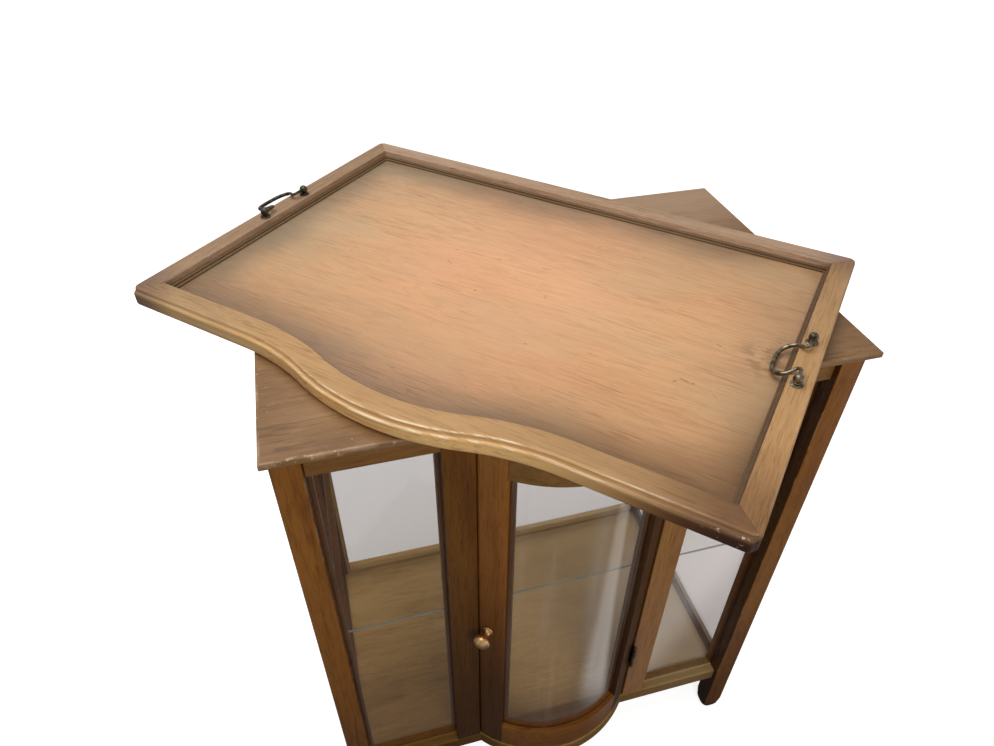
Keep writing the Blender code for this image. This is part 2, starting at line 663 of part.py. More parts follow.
# Hinges
def build_hinges():
    for name, low_z in zip(("lower", "upper"), HINGE_LOW_Z):
        high_z = low_z + HINGE_HIGH
        fixed_spans = ((low_z, low_z + KNUCKLE_HIGH), (high_z - KNUCKLE_HIGH, high_z))
        door_spans = ((low_z + KNUCKLE_HIGH + KNUCKLE_CLEAR, high_z - KNUCKLE_HIGH - KNUCKLE_CLEAR),)
        sides = (("post", CABINET, fixed_spans, POST_INNER_X - GAP - LEAF_THICK),
                 ("door", DOOR_AXIS, door_spans, DOOR_RIGHT_X + GAP))
        for side, parent, spans, plate_x in sides:
            ends = ((HINGE_X, HINGE_Y, low_z - 0.002), (HINGE_X, HINGE_Y, high_z + 0.002))
            bore = cutter(rod(KNUCKLE_BORE_R, *ends), f"hinge_{name}_{side}_bore", parent)
            build_leaf(f"hinge_{name}_{side}_leaf", parent, spans, plate_x, bore, (low_z, high_z))
        tip = HINGE_TIP_HIGH
        profile = [(0.0, HINGE_HIGH + GAP + tip), (HINGE_TIP_R * 0.7, HINGE_HIGH + GAP + tip * 0.7),
                   (HINGE_TIP_R, HINGE_HIGH + GAP), (HINGE_PIN_R, HINGE_HIGH + GAP), (HINGE_PIN_R, -GAP),
                   (HINGE_TIP_R, -GAP), (HINGE_TIP_R * 0.7, -GAP - tip * 0.7), (0.0, -GAP - tip)]
        piece(moved(turned(profile, 16), Matrix.Translation((HINGE_X, HINGE_Y, low_z))),
              f"hinge_{name}_pin", "brass", CABINET, smooth=True)


def build_leaf(name, parent, spans, plate_x, bore, plate_span):
    """A hinge plate with the knuckles that belong to it."""
    leaf = piece(box((plate_x, HINGE_Y + LEAF_PLATE_START, plate_span[0]),
                     (plate_x + LEAF_THICK, LEAF_BACK_Y, plate_span[1])), name, "brass", parent)
    for i, (low, high) in enumerate(spans):
        tab_low = (plate_x, HINGE_Y + LEAF_TAB_START, low)
        tab_high = (plate_x + LEAF_THICK, HINGE_Y + LEAF_PLATE_START + 0.001, high)
        combine(leaf, cutter(box(tab_low, tab_high), f"{name}_tab_{i}", parent), "UNION")
        barrel = cutter(rod(KNUCKLE_R, (HINGE_X, HINGE_Y, low), (HINGE_X, HINGE_Y, high)),
                        f"{name}_barrel_{i}", parent)
        combine(leaf, barrel, "UNION")
    combine(leaf, bore)


# Tray
def serpentine(offset, half):
    """The front edge from left to right: flat, concave shoulder, convex bow, shoulder, flat."""
    front = -TRAY_DEPTH / 2
    bow_middle = front - SERPENTINE_DEPTH + SERPENTINE_R
    points = [(-half, front - offset)]
    steps = SERPENTINE_STEPS
    for i in range(steps + 1):
        angle = SERPENTINE_ANGLE * i / steps
        radius = SERPENTINE_R - offset
        points.append((-SERPENTINE_HALF + radius * math.sin(angle),
                       front - SERPENTINE_R + radius * math.cos(angle)))
    for i in range(1, 2 * steps):
        angle = -SERPENTINE_ANGLE + SERPENTINE_ANGLE * i / steps
        radius = SERPENTINE_R + offset
        points.append((radius * math.sin(angle), bow_middle - radius * math.cos(angle)))
    points += [(-u, v) for u, v in reversed(points[:steps + 2])]
    return points


def corner_arc(offset, first, last, steps=4):
    """Part of the rounded corner at +U +V, from angle first to last."""
    radius = RIM_CORNER_R + offset
    middle_u = TRAY_WIDTH / 2 - RIM_CORNER_R
    middle_v = TRAY_DEPTH / 2 - RIM_CORNER_R
    return [(middle_u + radius * math.cos(first + (last - first) * i / steps),
             middle_v + radius * math.sin(first + (last - first) * i / steps)) for i in range(steps + 1)]


def rail_outline(name, offset):
    """A mitred rail in plan: rounded outer corners, square inner ones."""
    half_u = TRAY_WIDTH / 2 - RIM_WIDE
    half_v = TRAY_DEPTH / 2 - RIM_WIDE
    slack = GAP / 2
    eighth = math.pi / 4
    if name in ("left", "right"):
        upper = corner_arc(offset, 0.0, eighth)
        upper = [(u, v - slack) for u, v in upper]
        lower = [(u, -v) for u, v in reversed(upper)]
        outline = lower + upper + [(half_u, half_v - slack), (half_u, -half_v + slack)]
        return outline if name == "right" else [(-u, v) for u, v in reversed(outline)]
    ends = corner_arc(offset, eighth, 2 * eighth)
    ends = [(u - slack, v) for u, v in ends]
    if name == "back":
        other = [(-u, v) for u, v in reversed(ends)]
        return ends + other + [(-half_u + slack, half_v), (half_u - slack, half_v)]
    front_right = [(u, -v) for u, v in reversed(ends)]
    front_left = [(-u, v) for u, v in reversed(front_right)]
    outer = serpentine(offset, TRAY_WIDTH / 2 - RIM_CORNER_R)[1:-1]
    inner = serpentine(-RIM_WIDE, half_u - slack)
    return front_left + outer + front_right + list(reversed(inner))


def on_outline(edge, outline_keys):
    return all((round(vert.co.x, 5), round(vert.co.y, 5)) in outline_keys for vert in edge.verts)


def outer_keys(name, offset):
    """The plan points of a rail's outer edge, for choosing the edges to round."""
    half_u = TRAY_WIDTH / 2 - RIM_WIDE - 0.001
    half_v = TRAY_DEPTH / 2 - RIM_WIDE - 0.001
    inner = {(round(u, 5), round(v, 5)) for u, v in serpentine(-RIM_WIDE, half_u + 0.001 - GAP / 2)}
    keys = {(round(u, 5), round(v, 5)) for u, v in rail_outline(name, offset)}
    keys = {key for key in keys if key not in inner}
    return {key for key in keys if abs(key[0]) > half_u + 0.003 or abs(key[1]) > half_v + 0.003}


def build_rim(panel_rebate):
    for name in ("front", "back", "left", "right"):
        lower = prism(rail_outline(name, RIM_STEP_OUT), GAP, RIM_STEP_Z)
        keys = outer_keys(name, RIM_STEP_OUT)
        for edge_z, radius, segments in ((GAP, RIM_BULLNOSE, 4), (RIM_STEP_Z, RIM_STEP_ROUND, 2)):
            round_edges(lower, lambda e: level(e, edge_z) and on_outline(e, keys), radius, segments)
        upper = prism(rail_outline(name, 0.0), RIM_STEP_Z - 0.002, TRAY_HIGH)
        mitre = TRAY_WIDTH / 2 - RIM_WIDE

        def long_top_edge(edge, side=name):
            a, b = (vert.co for vert in edge.verts)
            if not level(edge, TRAY_HIGH):
                return False
            across = abs(abs(a.x) - abs(b.x)) > 0.003 and abs(abs(a.y) - abs(b.y)) > 0.003
            return not (across and min(abs(a.x), abs(b.x)) > mitre - 0.002)

        round_edges(upper, long_top_edge, RIM_TOP_ROUND, 1)
        rail = piece(lower, f"tray_rail_{name}", "rim_wood", TRAY)
        step = cutter(upper, f"tray_rail_{name}_step", TRAY)
        combine(rail, step, "UNION")
        combine(rail, panel_rebate)


def opening_outline(inset):
    """The tray's inside in plan, drawn in by inset from the rim's inner faces."""
    half_u = TRAY_WIDTH / 2 - RIM_WIDE - inset
    half_v = TRAY_DEPTH / 2 - RIM_WIDE - inset
    return serpentine(-RIM_WIDE - inset, half_u) + [(half_u, half_v), (-half_u, half_v)]


def build_tray():
    rebate = cutter(prism(opening_outline(-PANEL_TONGUE), -0.005, PANEL_TOP_Z + GAP), "panel_rebate", TRAY)
    build_rim(rebate)
    piece(prism(opening_outline(-PANEL_TONGUE + GAP), PANEL_TOP_Z - PANEL_THICK, PANEL_TOP_Z),
          "tray_panel", "panel_wood", TRAY)
    bead = piece(prism(opening_outline(GAP), PANEL_TOP_Z + GAP, PANEL_TOP_Z + GAP + TRAY_BEAD_HIGH),
                 "tray_bead", "rim_wood", TRAY)
    steps = (("hole", TRAY_BEAD_WIDE, PANEL_TOP_Z - 0.002),
             ("step", TRAY_BEAD_STEP_WIDE, PANEL_TOP_Z + GAP + TRAY_BEAD_STEP_HIGH))
    for name, wide, low_z in steps:
        hole = prism(opening_outline(wide), low_z, PANEL_TOP_Z + 0.02)
        combine(bead, cutter(hole, f"tray_bead_{name}", TRAY))


# Handles
def build_handles():
    for side, sign in (("left", -1), ("right", 1)):
        for row, v_sign in (("front", -1), ("back", 1)):
            build_handle_post(f"handle_post_{side}_{row}", sign * POST_U, v_sign)
        inward = -sign if side == "right" else sign
        drop = BAIL_IN_ANGLE if side == "right" else BAIL_OUT_ANGLE
        build_bail(side, sign, inward, drop)


def build_handle_post(name, u, v_sign):
    """A turned foot and ball with a blind hole for the end of the bail."""
    profile = [(0.0, PIVOT_RISE + POST_BALL_R)]
    for i in range(1, 8):
        angle = i / 8 * math.pi * 0.84
        profile.append((POST_BALL_R * math.sin(angle), PIVOT_RISE + POST_BALL_R * math.cos(angle)))
    profile += [(POST_NECK_R, POST_FOOT_HIGH + 0.0006), (POST_FOOT_R * 0.93, POST_FOOT_HIGH),
                (POST_FOOT_R, POST_FOOT_HIGH * 0.5), (POST_FOOT_R, GAP), (0.0, GAP)]
    seat = Matrix.Translation((u, v_sign * POST_V, TRAY_HIGH))
    post = piece(moved(turned(profile, 18), seat), name, "bronze", TRAY, smooth=True)
    inner_v = POST_V - POST_BALL_R
    hole = cutter(rod(BAIL_HOLE_R, (u, v_sign * (inner_v - 0.002), PIVOT_Z),
                      (u, v_sign * (inner_v + BAIL_HOLE_DEEP), PIVOT_Z)), f"{name}_hole", TRAY)
    combine(post, hole)


def smooth_points(points, steps):
    """A smooth run through the given points."""
    run = [2 * points[0] - points[1], *points, 2 * points[-1] - points[-2]]
    result = []
    for p0, p1, p2, p3 in zip(run, run[1:], run[2:], run[3:]):
        for i in range(steps):
            t = i / steps
            result.append(0.5 * (2 * p1 + (p2 - p0) * t + (2 * p0 - 5 * p1 + 4 * p2 - p3) * t ** 2
                                 + (3 * p1 - p0 - 3 * p2 + p3) * t ** 3))
    return result + [points[-1]]


def build_bail(side, sign, inward, drop):
    """A bent wire whose ends turn in the posts; inward is the way it leans along U."""
    half = [(BAIL_END_V, 0.0), *BAIL_HALF]
    plan = [Vector((v, r)) for v, r in half] + [Vector((-v, r)) for v, r in reversed(half[:-1])]
    curve = bpy.data.curves.new("wire", "CURVE")
    curve.dimensions = "3D"
    curve.bevel_depth = BAIL_WIRE_R
    curve.bevel_resolution = 2
    curve.use_fill_caps = True
    path = smooth_points(plan, BAIL_STEPS)
    spline = curve.splines.new("POLY")
    spline.points.add(len(path) - 1)
    for point, (v, reach) in zip(spline.points, path):
        u = sign * POST_U + inward * reach * math.cos(drop)
        point.co = (u, v, PIVOT_Z - reach * math.sin(drop), 1.0)
    obj = bpy.data.objects.new("wire", curve)
    CUTTERS.objects.link(obj)
    bpy.context.view_layer.update()
    mesh = bpy.data.meshes.new_from_object(obj.evaluated_get(bpy.context.evaluated_depsgraph_get()))
    bpy.data.objects.remove(obj, do_unlink=True)
    bm = bmesh.new()
    bm.from_mesh(mesh)
    bpy.data.meshes.remove(mesh)
    bmesh.ops.remove_doubles(bm, verts=bm.verts, dist=1e-6)
    piece(bm, f"bail_{side}", "bronze", BAIL_AXES[side], smooth=True)


def main():
    rebates = build_rebates()
    build_legs(rebates)
    build_frame(rebates)
    build_bowed_rail()
    build_top_board()
    build_base(rebates)
    build_panes()
    build_door()
    build_hinges()
    build_tray()
    build_handles()


main()
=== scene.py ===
"""Looks of the glazed bar cabinet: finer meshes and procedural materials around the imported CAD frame.

Metres, X right, Y to the back, Z up. Cabinet pieces are drawn from the middle of the cabinet's front edge,
tray pieces along U (length) and V (to the back) on the top board.
"""

import math
from functools import reduce

import bmesh
import bpy
import numpy as np
from mathutils import Matrix, Vector


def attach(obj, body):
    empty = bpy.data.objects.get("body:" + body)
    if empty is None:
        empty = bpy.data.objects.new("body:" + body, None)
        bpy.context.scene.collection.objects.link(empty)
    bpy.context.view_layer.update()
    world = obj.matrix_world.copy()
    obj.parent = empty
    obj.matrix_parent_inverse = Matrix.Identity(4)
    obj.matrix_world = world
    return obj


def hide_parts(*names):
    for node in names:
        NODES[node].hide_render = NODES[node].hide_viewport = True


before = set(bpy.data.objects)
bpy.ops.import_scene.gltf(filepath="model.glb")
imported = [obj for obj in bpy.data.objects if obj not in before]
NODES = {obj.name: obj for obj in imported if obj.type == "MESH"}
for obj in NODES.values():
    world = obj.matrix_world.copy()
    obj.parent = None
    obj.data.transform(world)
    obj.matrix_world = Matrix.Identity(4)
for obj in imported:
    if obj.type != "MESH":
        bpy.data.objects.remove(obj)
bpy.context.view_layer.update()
SCENE = bpy.context.scene
QUARTER = math.pi / 2
SIDES = (("left", -1), ("right", 1))
SHARP = 32.0

# Sizes, as in the CAD model
GAP = 0.0003
HEIGHT = 0.822
CABINET = Matrix.Translation((0.0333, -0.2190, 0.0))
TRAY_TURN = math.radians(-44.22)
TRAY = Matrix.Translation((0.0, 0.0, HEIGHT)) @ Matrix.Rotation(TRAY_TURN, 4, "Z")
TOP_WIDTH, TOP_DEPTH, TOP_THICK, TOP_ROUND = 0.650, 0.407, 0.008, 0.0016
TOP_UNDER_Z = HEIGHT - TOP_THICK - GAP
LEG_SIZE, LEG_OUTER_X, LEG_FRONT_Y, LEG_BACK_Y = 0.030, 0.319, 0.012, 0.401
LEG_ARRIS = 0.0018
FOOT_ROUND, FOOT_PLAN_ROUND, FOOT_HIGH = 0.012, 0.010, 0.030
FRAME_FRONT_Y, FRAME_BACK_Y, FRAME_SIDE_X = 0.0195, 0.397, 0.315
TOP_RAIL_LOW_Z = 0.7755
POST_INNER_X = 0.1205
BASE_LOW_Z, BASE_TOP_Z, BASE_ROUND = 0.100, 0.126, 0.003
BOW_CENTRE_Y, TOP_BOW_R, BASE_BOW_R = 0.130, 0.173, 0.162
DOOR_OUTER_R, DOOR_INNER_R, DOOR_ARRIS = 0.1605, 0.1425, 0.0012
DOOR_LOW_Z, DOOR_TOP_Z = 0.128, 0.774
DOOR_LEFT_X, DOOR_RIGHT_X = -0.1190, 0.1175
STILE_ANGLE = math.radians(35.0)
RAIL_ANGLE = STILE_ANGLE - math.radians(0.12)
DOOR_TOP_RAIL_LOW_Z, DOOR_BOTTOM_RAIL_TOP_Z = 0.738, 0.183
REBATE_R = DOOR_OUTER_R - 0.007
REBATE_ANGLE = math.radians(2.1)
REBATE_WIDE = 0.0055
GLASS_ANGLE = STILE_ANGLE + REBATE_ANGLE - math.radians(0.3)
GLASS_R = REBATE_R - GAP
GLASS_THICK, GLASS_CLEAR = 0.003, 0.0005
BEAD_WIDE, BEAD_ANGLE, BEAD_ARRIS = 0.010, math.radians(3.9), 0.0008
SHELF_ARRIS = 0.0008
KNOB_ANGLE, KNOB_Z = math.radians(-42.8), 0.438
CATCH_X, CATCH_R, CATCH_DEEP = -0.060, 0.004, 0.012
STRIKE_HALF, STRIKE_THICK = 0.007, 0.0012
TRAY_WIDTH, TRAY_DEPTH, TRAY_HIGH = 0.7072, 0.4761, 0.0223
RIM_WIDE, RIM_STEP_OUT, RIM_STEP_Z, RIM_CORNER_R = 0.0245, 0.0046, 0.0186, 0.008
SIDE_MOULDING = 0.10
SERPENTINE_DEPTH, SERPENTINE_HALF = 0.0325, 0.186
SERPENTINE_R = (SERPENTINE_HALF ** 2 + SERPENTINE_DEPTH ** 2) / (4 * SERPENTINE_DEPTH)
SERPENTINE_ANGLE = math.asin(SERPENTINE_HALF / 2 / SERPENTINE_R)
PANEL_TOP_Z, PANEL_THICK, PANEL_TONGUE = 0.0097, 0.006, 0.008
TRAY_BEAD_WIDE = 0.006
POST_U, POST_V, PIVOT_RISE, POST_BALL_R = 0.3385, 0.038, 0.0075, 0.0052
PIVOT_Z = TRAY_HIGH + PIVOT_RISE
BAIL_WIRE_R, GRIP_SWELL = 0.0018, 0.0006
BAIL_DROPS = {"left": math.radians(19.3), "right": math.radians(28.8)}


# Mesh building
def on_cabinet(x, y, z):
    return tuple(CABINET @ Vector((x, y, z)))


def on_tray(u, v, z):
    return tuple(TRAY @ Vector((u, v, z)))


def arc(middle, radius, first, last, steps):
    """Points on a circle in plan, from angle first to last, both included."""
    angles = [first + (last - first) * i / steps for i in range(steps + 1)]
    return [(middle[0] + radius * math.cos(a), middle[1] + radius * math.sin(a)) for a in angles]


def rectangle(x0, y0, x1, y1, *height):
    return [(x0, y0, *height), (x1, y0, *height), (x1, y1, *height), (x0, y1, *height)]


def mirror(points):
    """The other half of an outline, back from its last point."""
    return [(-x, y) for x, y in reversed(points)]


def round_over(radius, steps):
    """An edge rounded to a radius, as (rise, inset) from the face under it up to its side."""
    angles = np.linspace(QUARTER, 0.0, steps)
    return [(radius * (1 - math.sin(a)), radius * (1 - math.cos(a))) for a in angles]


def stack(loops, ring=False):
    """Skins a row of closed loops that have the same count of points; open rows get flat ends."""
    count = len(loops[0])
    verts = [tuple(point) for loop in loops for point in loop]
    faces = []
    for i in range(len(loops) if ring else len(loops) - 1):
        a = i * count
        b = (i + 1) % len(loops) * count
        for j in range(count):
            k = (j + 1) % count
            faces.append((a + j, a + k, b + k, b + j))
    if not ring:
        faces.append(tuple(reversed(range(count))))
        faces.append(tuple(range(len(verts) - count, len(verts))))
    return verts, faces


def layers(outline, levels):
    """Loops of an outline at levels of (height, inset), and the points' values where a level has one."""
    loops, values = [], []
    for z, inset, *value in levels:
        points = outline(inset)
        loops.append([(x, y, z) for x, y in points])
        values += value * len(points)
    return loops, values


def lathe(profile, steps):
    """A profile of (radius, height) spun about Z; a radius of nothing becomes a tiny one."""
    least = 0.0002
    turns = [2 * math.pi * i / steps for i in range(steps)]
    loops = []
    for radius, height in profile:
        radius = max(radius, least)
        loops.append([(radius * math.cos(a), radius * math.sin(a), height) for a in turns])
    return stack(loops)


def smoothstep(value, low, high):
    t = min(max((value - low) / (high - low), 0.0), 1.0)
    return t * t * (3 - 2 * t)


def smooth_run(points, steps):
    """A smooth run through the given points (tuples of any length)."""
    points = [np.array(point, float) for point in points]
    run = [2 * points[0] - points[1], *points, 2 * points[-1] - points[-2]]
    result = []
    for p0, p1, p2, p3 in zip(run, run[1:], run[2:], run[3:]):
        for i in range(steps):
            t = i / steps
            square = (2 * p0 - 5 * p1 + 4 * p2 - p3) * t ** 2
            cube = (3 * p1 - p0 - 3 * p2 + p3) * t ** 3
            result.append(0.5 * (2 * p1 + (p2 - p0) * t + square + cube))
    return [tuple(point) for point in result + [points[-1]]]


def make_mesh(name, shape, place, values):
    """A mesh of (points, faces) at its place, with named values for its points."""
    verts, faces = shape
    mesh = bpy.data.meshes.new(name)
    mesh.from_pydata(verts, [], faces)
    for key, row in values.items():
        layer = mesh.attributes.new(key, "FLOAT", "POINT")
        layer.data.foreach_set("value", np.array(row, np.float32))
    bm = bmesh.new()
    bm.from_mesh(mesh)
    bmesh.ops.transform(bm, matrix=place, verts=bm.verts)
    bmesh.ops.recalc_face_normals(bm, faces=bm.faces)
    bm.to_mesh(mesh)
    bm.free()
    return mesh


def shade(mesh, sharp):
    """Smooth shading, except at edges of more than sharp degrees."""
    mesh.shade_smooth()
    mesh.set_sharp_from_angle(angle=math.radians(sharp))


def link(name, data):
    obj = bpy.data.objects.new(name, data)
    SCENE.collection.objects.link(obj)
    return obj


def add(node, shape, place, body, slot, material, sharp=SHARP, **values):
    """Makes the piece that stands for a CAD node, with named values for its points."""
    name = f"{node}_look"
    mesh = make_mesh(name, shape, place, values)
    shade(mesh, sharp)
    for face in mesh.polygons:
        face.use_smooth = face.loop_total <= 4
    mesh.materials.append(material)
    obj = link(name, mesh)
    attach(obj, body)
    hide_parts(node)
    return obj


def cut(obj, shape):
    """Takes a shape out of a cabinet piece for good."""
    tool = link("cut", make_mesh("cut", shape, CABINET, {}))
    modifier = obj.modifiers.new("cut", "BOOLEAN")
    modifier.object = tool
    bpy.context.view_layer.update()
    result = bpy.data.meshes.new_from_object(obj.evaluated_get(bpy.context.evaluated_depsgraph_get()))
    obj.modifiers.clear()
    bpy.data.objects.remove(tool, do_unlink=True)
    obj.data = result
    shade(result, SHARP)


# Node building
class Nodes:
    """Short ways to add nodes to a tree; values are sockets or plain numbers."""

    def __init__(self, tree):
        self.tree = tree

    def put(self, socket, value):
        if isinstance(value, bpy.types.NodeSocket):
            self.tree.links.new(value, socket)
        elif socket.type == "RGBA" and len(value) == 3:
            socket.default_value = (*value, 1.0)
        else:
            socket.default_value = value

    def node(self, kind, inputs=None, **settings):
        made = self.tree.nodes.new(kind)
        for key, value in settings.items():
            setattr(made, key, value)
        for key, value in (inputs or {}).items():
            self.put(made.inputs[key], value)
        return made

    def math(self, operation, a, b=0.0):
        return self.node("ShaderNodeMath", {0: a, 1: b}, operation=operation).outputs[0]

    def times(self, *values):
        return reduce(lambda a, b: self.math("MULTIPLY", a, b), values)

    def most(self, *values):
        return reduce(lambda a, b: self.math("MAXIMUM", a, b), values)

    def inverse(self, value):
        return self.math("SUBTRACT", 1.0, value)

    def span(self, value, low, high, to_low=0.0, to_high=1.0):
        """A smooth step from low to high."""
        inputs = {"Value": value, "From Min": low, "From Max": high, "To Min": to_low, "To Max": to_high}
        return self.node("ShaderNodeMapRange", inputs, interpolation_type="SMOOTHSTEP").outputs[0]

    def mix(self, factor, a, b, blend="MIX"):
        mixer = self.node("ShaderNodeMix", data_type="RGBA", blend_type=blend)
        self.put(mixer.inputs[0], factor)
        self.put(mixer.inputs[6], a)
        self.put(mixer.inputs[7], b)
        return mixer.outputs[2]

    def light_path(self):
        """Light Path's outputs, and 1 for what is seen in a mirror image, also through a pane."""
        path = self.node("ShaderNodeLightPath").outputs
        return path, self.math("GREATER_THAN", path["Glossy Depth"], 0.5)


class Look(Nodes):
    """One material."""

    GRAIN_SHIFT = (3.71, 1.37, 2.19)

    def __init__(self, name):
        self.material = bpy.data.materials.new(name)
        self.material.use_nodes = True
        super().__init__(self.material.node_tree)
        self.shader = self.tree.nodes["Principled BSDF"]

    def value(self, name):
        return self.node("ShaderNodeAttribute", attribute_name=name).outputs["Fac"]

    def place(self):
        return self.node("ShaderNodeTexCoord").outputs["Object"]

    def axis(self, vector, index):
        return self.node("ShaderNodeSeparateXYZ", {0: vector}).outputs[index]

    def vector(self, operation, a, b, output="Value"):
        return self.node("ShaderNodeVectorMath", {0: a, 1: b}, operation=operation).outputs[output]

    def dot(self, vector, direction):
        return self.vector("DOT_PRODUCT", vector, direction)

    def facing(self, direction):
        return self.dot(self.node("ShaderNodeNewGeometry").outputs["True Normal"], direction)

    def distance(self, point):
        return self.vector("DISTANCE", self.place(), point)

    def near(self, point, reach, core=0.0):
        """1 up to core from a point of the object and 0 beyond reach."""
        return self.span(self.distance(point), reach, core)

    def along(self, axis, seed):
        """Object coordinates turned so that the grain runs along X: u and v are the tray's own axes."""
        turn = {"x": (0.0, 0.0, 0.0), "y": (0.0, 0.0, -QUARTER), "z": (0.0, QUARTER, 0.0),
                "u": (0.0, 0.0, -TRAY_TURN), "v": (0.0, 0.0, -TRAY_TURN - QUARTER)}[axis]
        shift = scaled(self.GRAIN_SHIFT, seed)
        inputs = {"Vector": self.place(), "Location": shift, "Rotation": turn}
        return self.node("ShaderNodeMapping", inputs).outputs[0]

    def noise(self, where, scale, detail, rough, twist=0.0):
        """Cloudy noise; scale gives its features per metre on each axis."""
        stretched = self.vector("MULTIPLY", where, scale, "Vector")
        inputs = {"Vector": stretched, "Scale": 1.0, "Detail": detail, "Roughness": rough}
        return self.node("ShaderNodeTexNoise", {**inputs, "Distortion": twist}).outputs[0]

    def principled(self, inputs):
        """Sets inputs of the material's own shader."""
        for key, value in inputs.items():
            self.put(self.shader.inputs[key], value)
        return self.material

    def bump(self, height, strength, distance):
        inputs = {"Strength": strength, "Distance": distance, "Height": height}
        self.principled({"Normal": self.node("ShaderNodeBump", inputs).outputs[0]})

    def plain(self, kind, colour):
        return self.node(f"ShaderNodeBsdf{kind}", {"Color": colour}).outputs[0]

    def blend(self, factor, first, second):
        return self.node("ShaderNodeMixShader", {0: factor, 1: first, 2: second}).outputs[0]

    def surface(self, shader):
        self.put(self.tree.nodes["Material Output"].inputs["Surface"], shader)
        return self.material


def scaled(values, factor):
    return tuple(value * factor for value in values)


class Wood(Look):
    """Satin varnished wood: broad tone, grain bands, streaks, pores, dark lines and pale flecks."""

    def __init__(self, name, colours, axis, seed, streak=1.0, pore=0.5, rough=0.42, line=0.25, fleck=0.0,
                 fine=1.0):
        super().__init__(name)
        base, light, dark = colours
        self.colour = base
        self.where = self.along(axis, seed)
        broad = self.grain(2.2, 9, 3, 0.5, 0.6)
        bands = self.patch(5, 80, 0.42, 0.74, 4, 0.6, 0.4)
        self.streak = self.grain(30, 380, 4, 0.65)
        streaks = self.span(self.streak, 0.44, 0.76)
        dots = self.patch(70, 1150, 0.56, 0.70, 2, 0.5)
        self.pores = self.times(dots, self.patch(3, 46, 0.36, 0.62, 2, 0.5))
        clusters = self.span(self.grain(6, 30, 3, 0.6, 0.5), 0.40, 0.60, 0.25, 1)
        lines = self.times(self.patch(24, 300 * fine, 0.565, 0.61, 2, 0.5), clusters)
        sparse = self.span(broad, 0.38, 0.58, 1.0, 0.3)
        flecks = self.times(self.patch(36, 420 * fine, 0.57, 0.62, 1, 0.5), sparse)
        self.stain(light, self.span(broad, 0.32, 0.68))
        self.stain(dark, bands, 0.42 * streak)
        self.stain(dark, streaks, 0.50 * streak)
        self.stain(scaled(dark, 0.55), self.pores, pore)
        self.stain(scaled(dark, 0.8), lines, line)
        self.stain(scaled(light, 1.2), flecks, fleck)
        self.rough = self.span(self.streak, 0.3, 0.75, rough - 0.05, rough + 0.10)

    def grain(self, along, across, detail, rough, twist=0.0):
        """Noise stretched along the grain, in features per metre along and across it."""
        return self.noise(self.where, (along, across, across), detail, rough, twist)

    def patch(self, along, across, low, high, detail, rough, twist=0.0):
        """Patches of grain noise: 0 below low and 1 above high."""
        return self.span(self.grain(along, across, detail, rough, twist), low, high)

    def stain(self, colour, *factors, blend="MIX"):
        """Lays a colour over the wood where the factors' product is 1."""
        self.colour = self.mix(self.times(*factors), self.colour, colour, blend)

    def darken(self, tint, *factors):
        """Multiplies the colour by a tint."""
        self.stain(tint, *factors, blend="MULTIPLY")

    def wear(self, colour, *factors):
        """Lays bare, rougher wood."""
        factor = self.times(*factors)
        self.stain(colour, factor)
        self.rough = self.math("ADD", self.rough, self.times(factor, 0.14))

    def done(self, bump=0.25, sheen=0.30):
        self.bump(self.math("ADD", self.times(self.pores, -1.0), self.times(self.streak, -0.6)), bump, 0.0005)
        return self.principled({"Base Color": self.colour, "Roughness": self.rough,
                                "Specular IOR Level": sheen})


# Woods: base, light and dark colour
FRAME_WOOD = ((0.230, 0.079, 0.011), (0.285, 0.112, 0.018), (0.090, 0.026, 0.004))
HONEY_WOOD = ((0.248, 0.112, 0.029), (0.292, 0.144, 0.042), (0.112, 0.045, 0.010))
TOP_WOOD = ((0.266, 0.146, 0.062), (0.336, 0.195, 0.091), (0.136, 0.070, 0.028))
# Painted light: the base colours are far brighter than the wood, standing in for the light that the cabinet's
# shade takes from its floor
BASE_WOOD = ((0.680, 0.430, 0.148), (0.760, 0.500, 0.190), (0.390, 0.225, 0.068))
RIM_WOOD = ((0.430, 0.240, 0.100), (0.500, 0.295, 0.135), (0.250, 0.125, 0.045))
PANEL_WOOD = ((0.740, 0.375, 0.190), (0.800, 0.430, 0.225), (0.480, 0.220, 0.095))
# Lit and shaded copies of the rim wood, one tint per rail: a cool painted sheen on the back rail, painted
# shade on the left one
RIM_LIGHT_TINTS = {"front": (0.99, 0.99, 1.01), "back": (0.99, 1.13, 1.68), "left": (0.76, 0.83, 1.12),
             "right": (1.05, 1.04, 1.02)}

# Colours laid over the woods
BARE_WOOD = (0.66, 0.48, 0.31)
RUBBED_LEG = (0.46, 0.25, 0.10)
# Painted sheen on the back of the top board
TOP_BACK_SHEEN = (0.480, 0.320, 0.205)
RUBBED_TOP = (0.520, 0.360, 0.225)
# Painted light on the base's floor, at the back and the right
BASE_BACK_LIGHT = (0.80, 0.59, 0.31)
BASE_RIGHT_LIGHT = (0.86, 0.69, 0.44)
GOLDEN_RIM = (0.740, 0.435, 0.165)
SCRATCHED_RIM = (0.80, 0.58, 0.32)
WORN_RIM = (0.86, 0.69, 0.47)
CHIPPED_RIM = (0.82, 0.64, 0.45)
KNOCKED_RIM = (0.66, 0.55, 0.43)
RUBBED_BEAD = (0.42, 0.26, 0.13)
PANEL_FIGURE = (0.520, 0.270, 0.135)
PANEL_BLUSH = (0.790, 0.400, 0.225)
PANEL_HONEY = (0.650, 0.420, 0.235)
PANEL_MARK = (0.210, 0.085, 0.030)
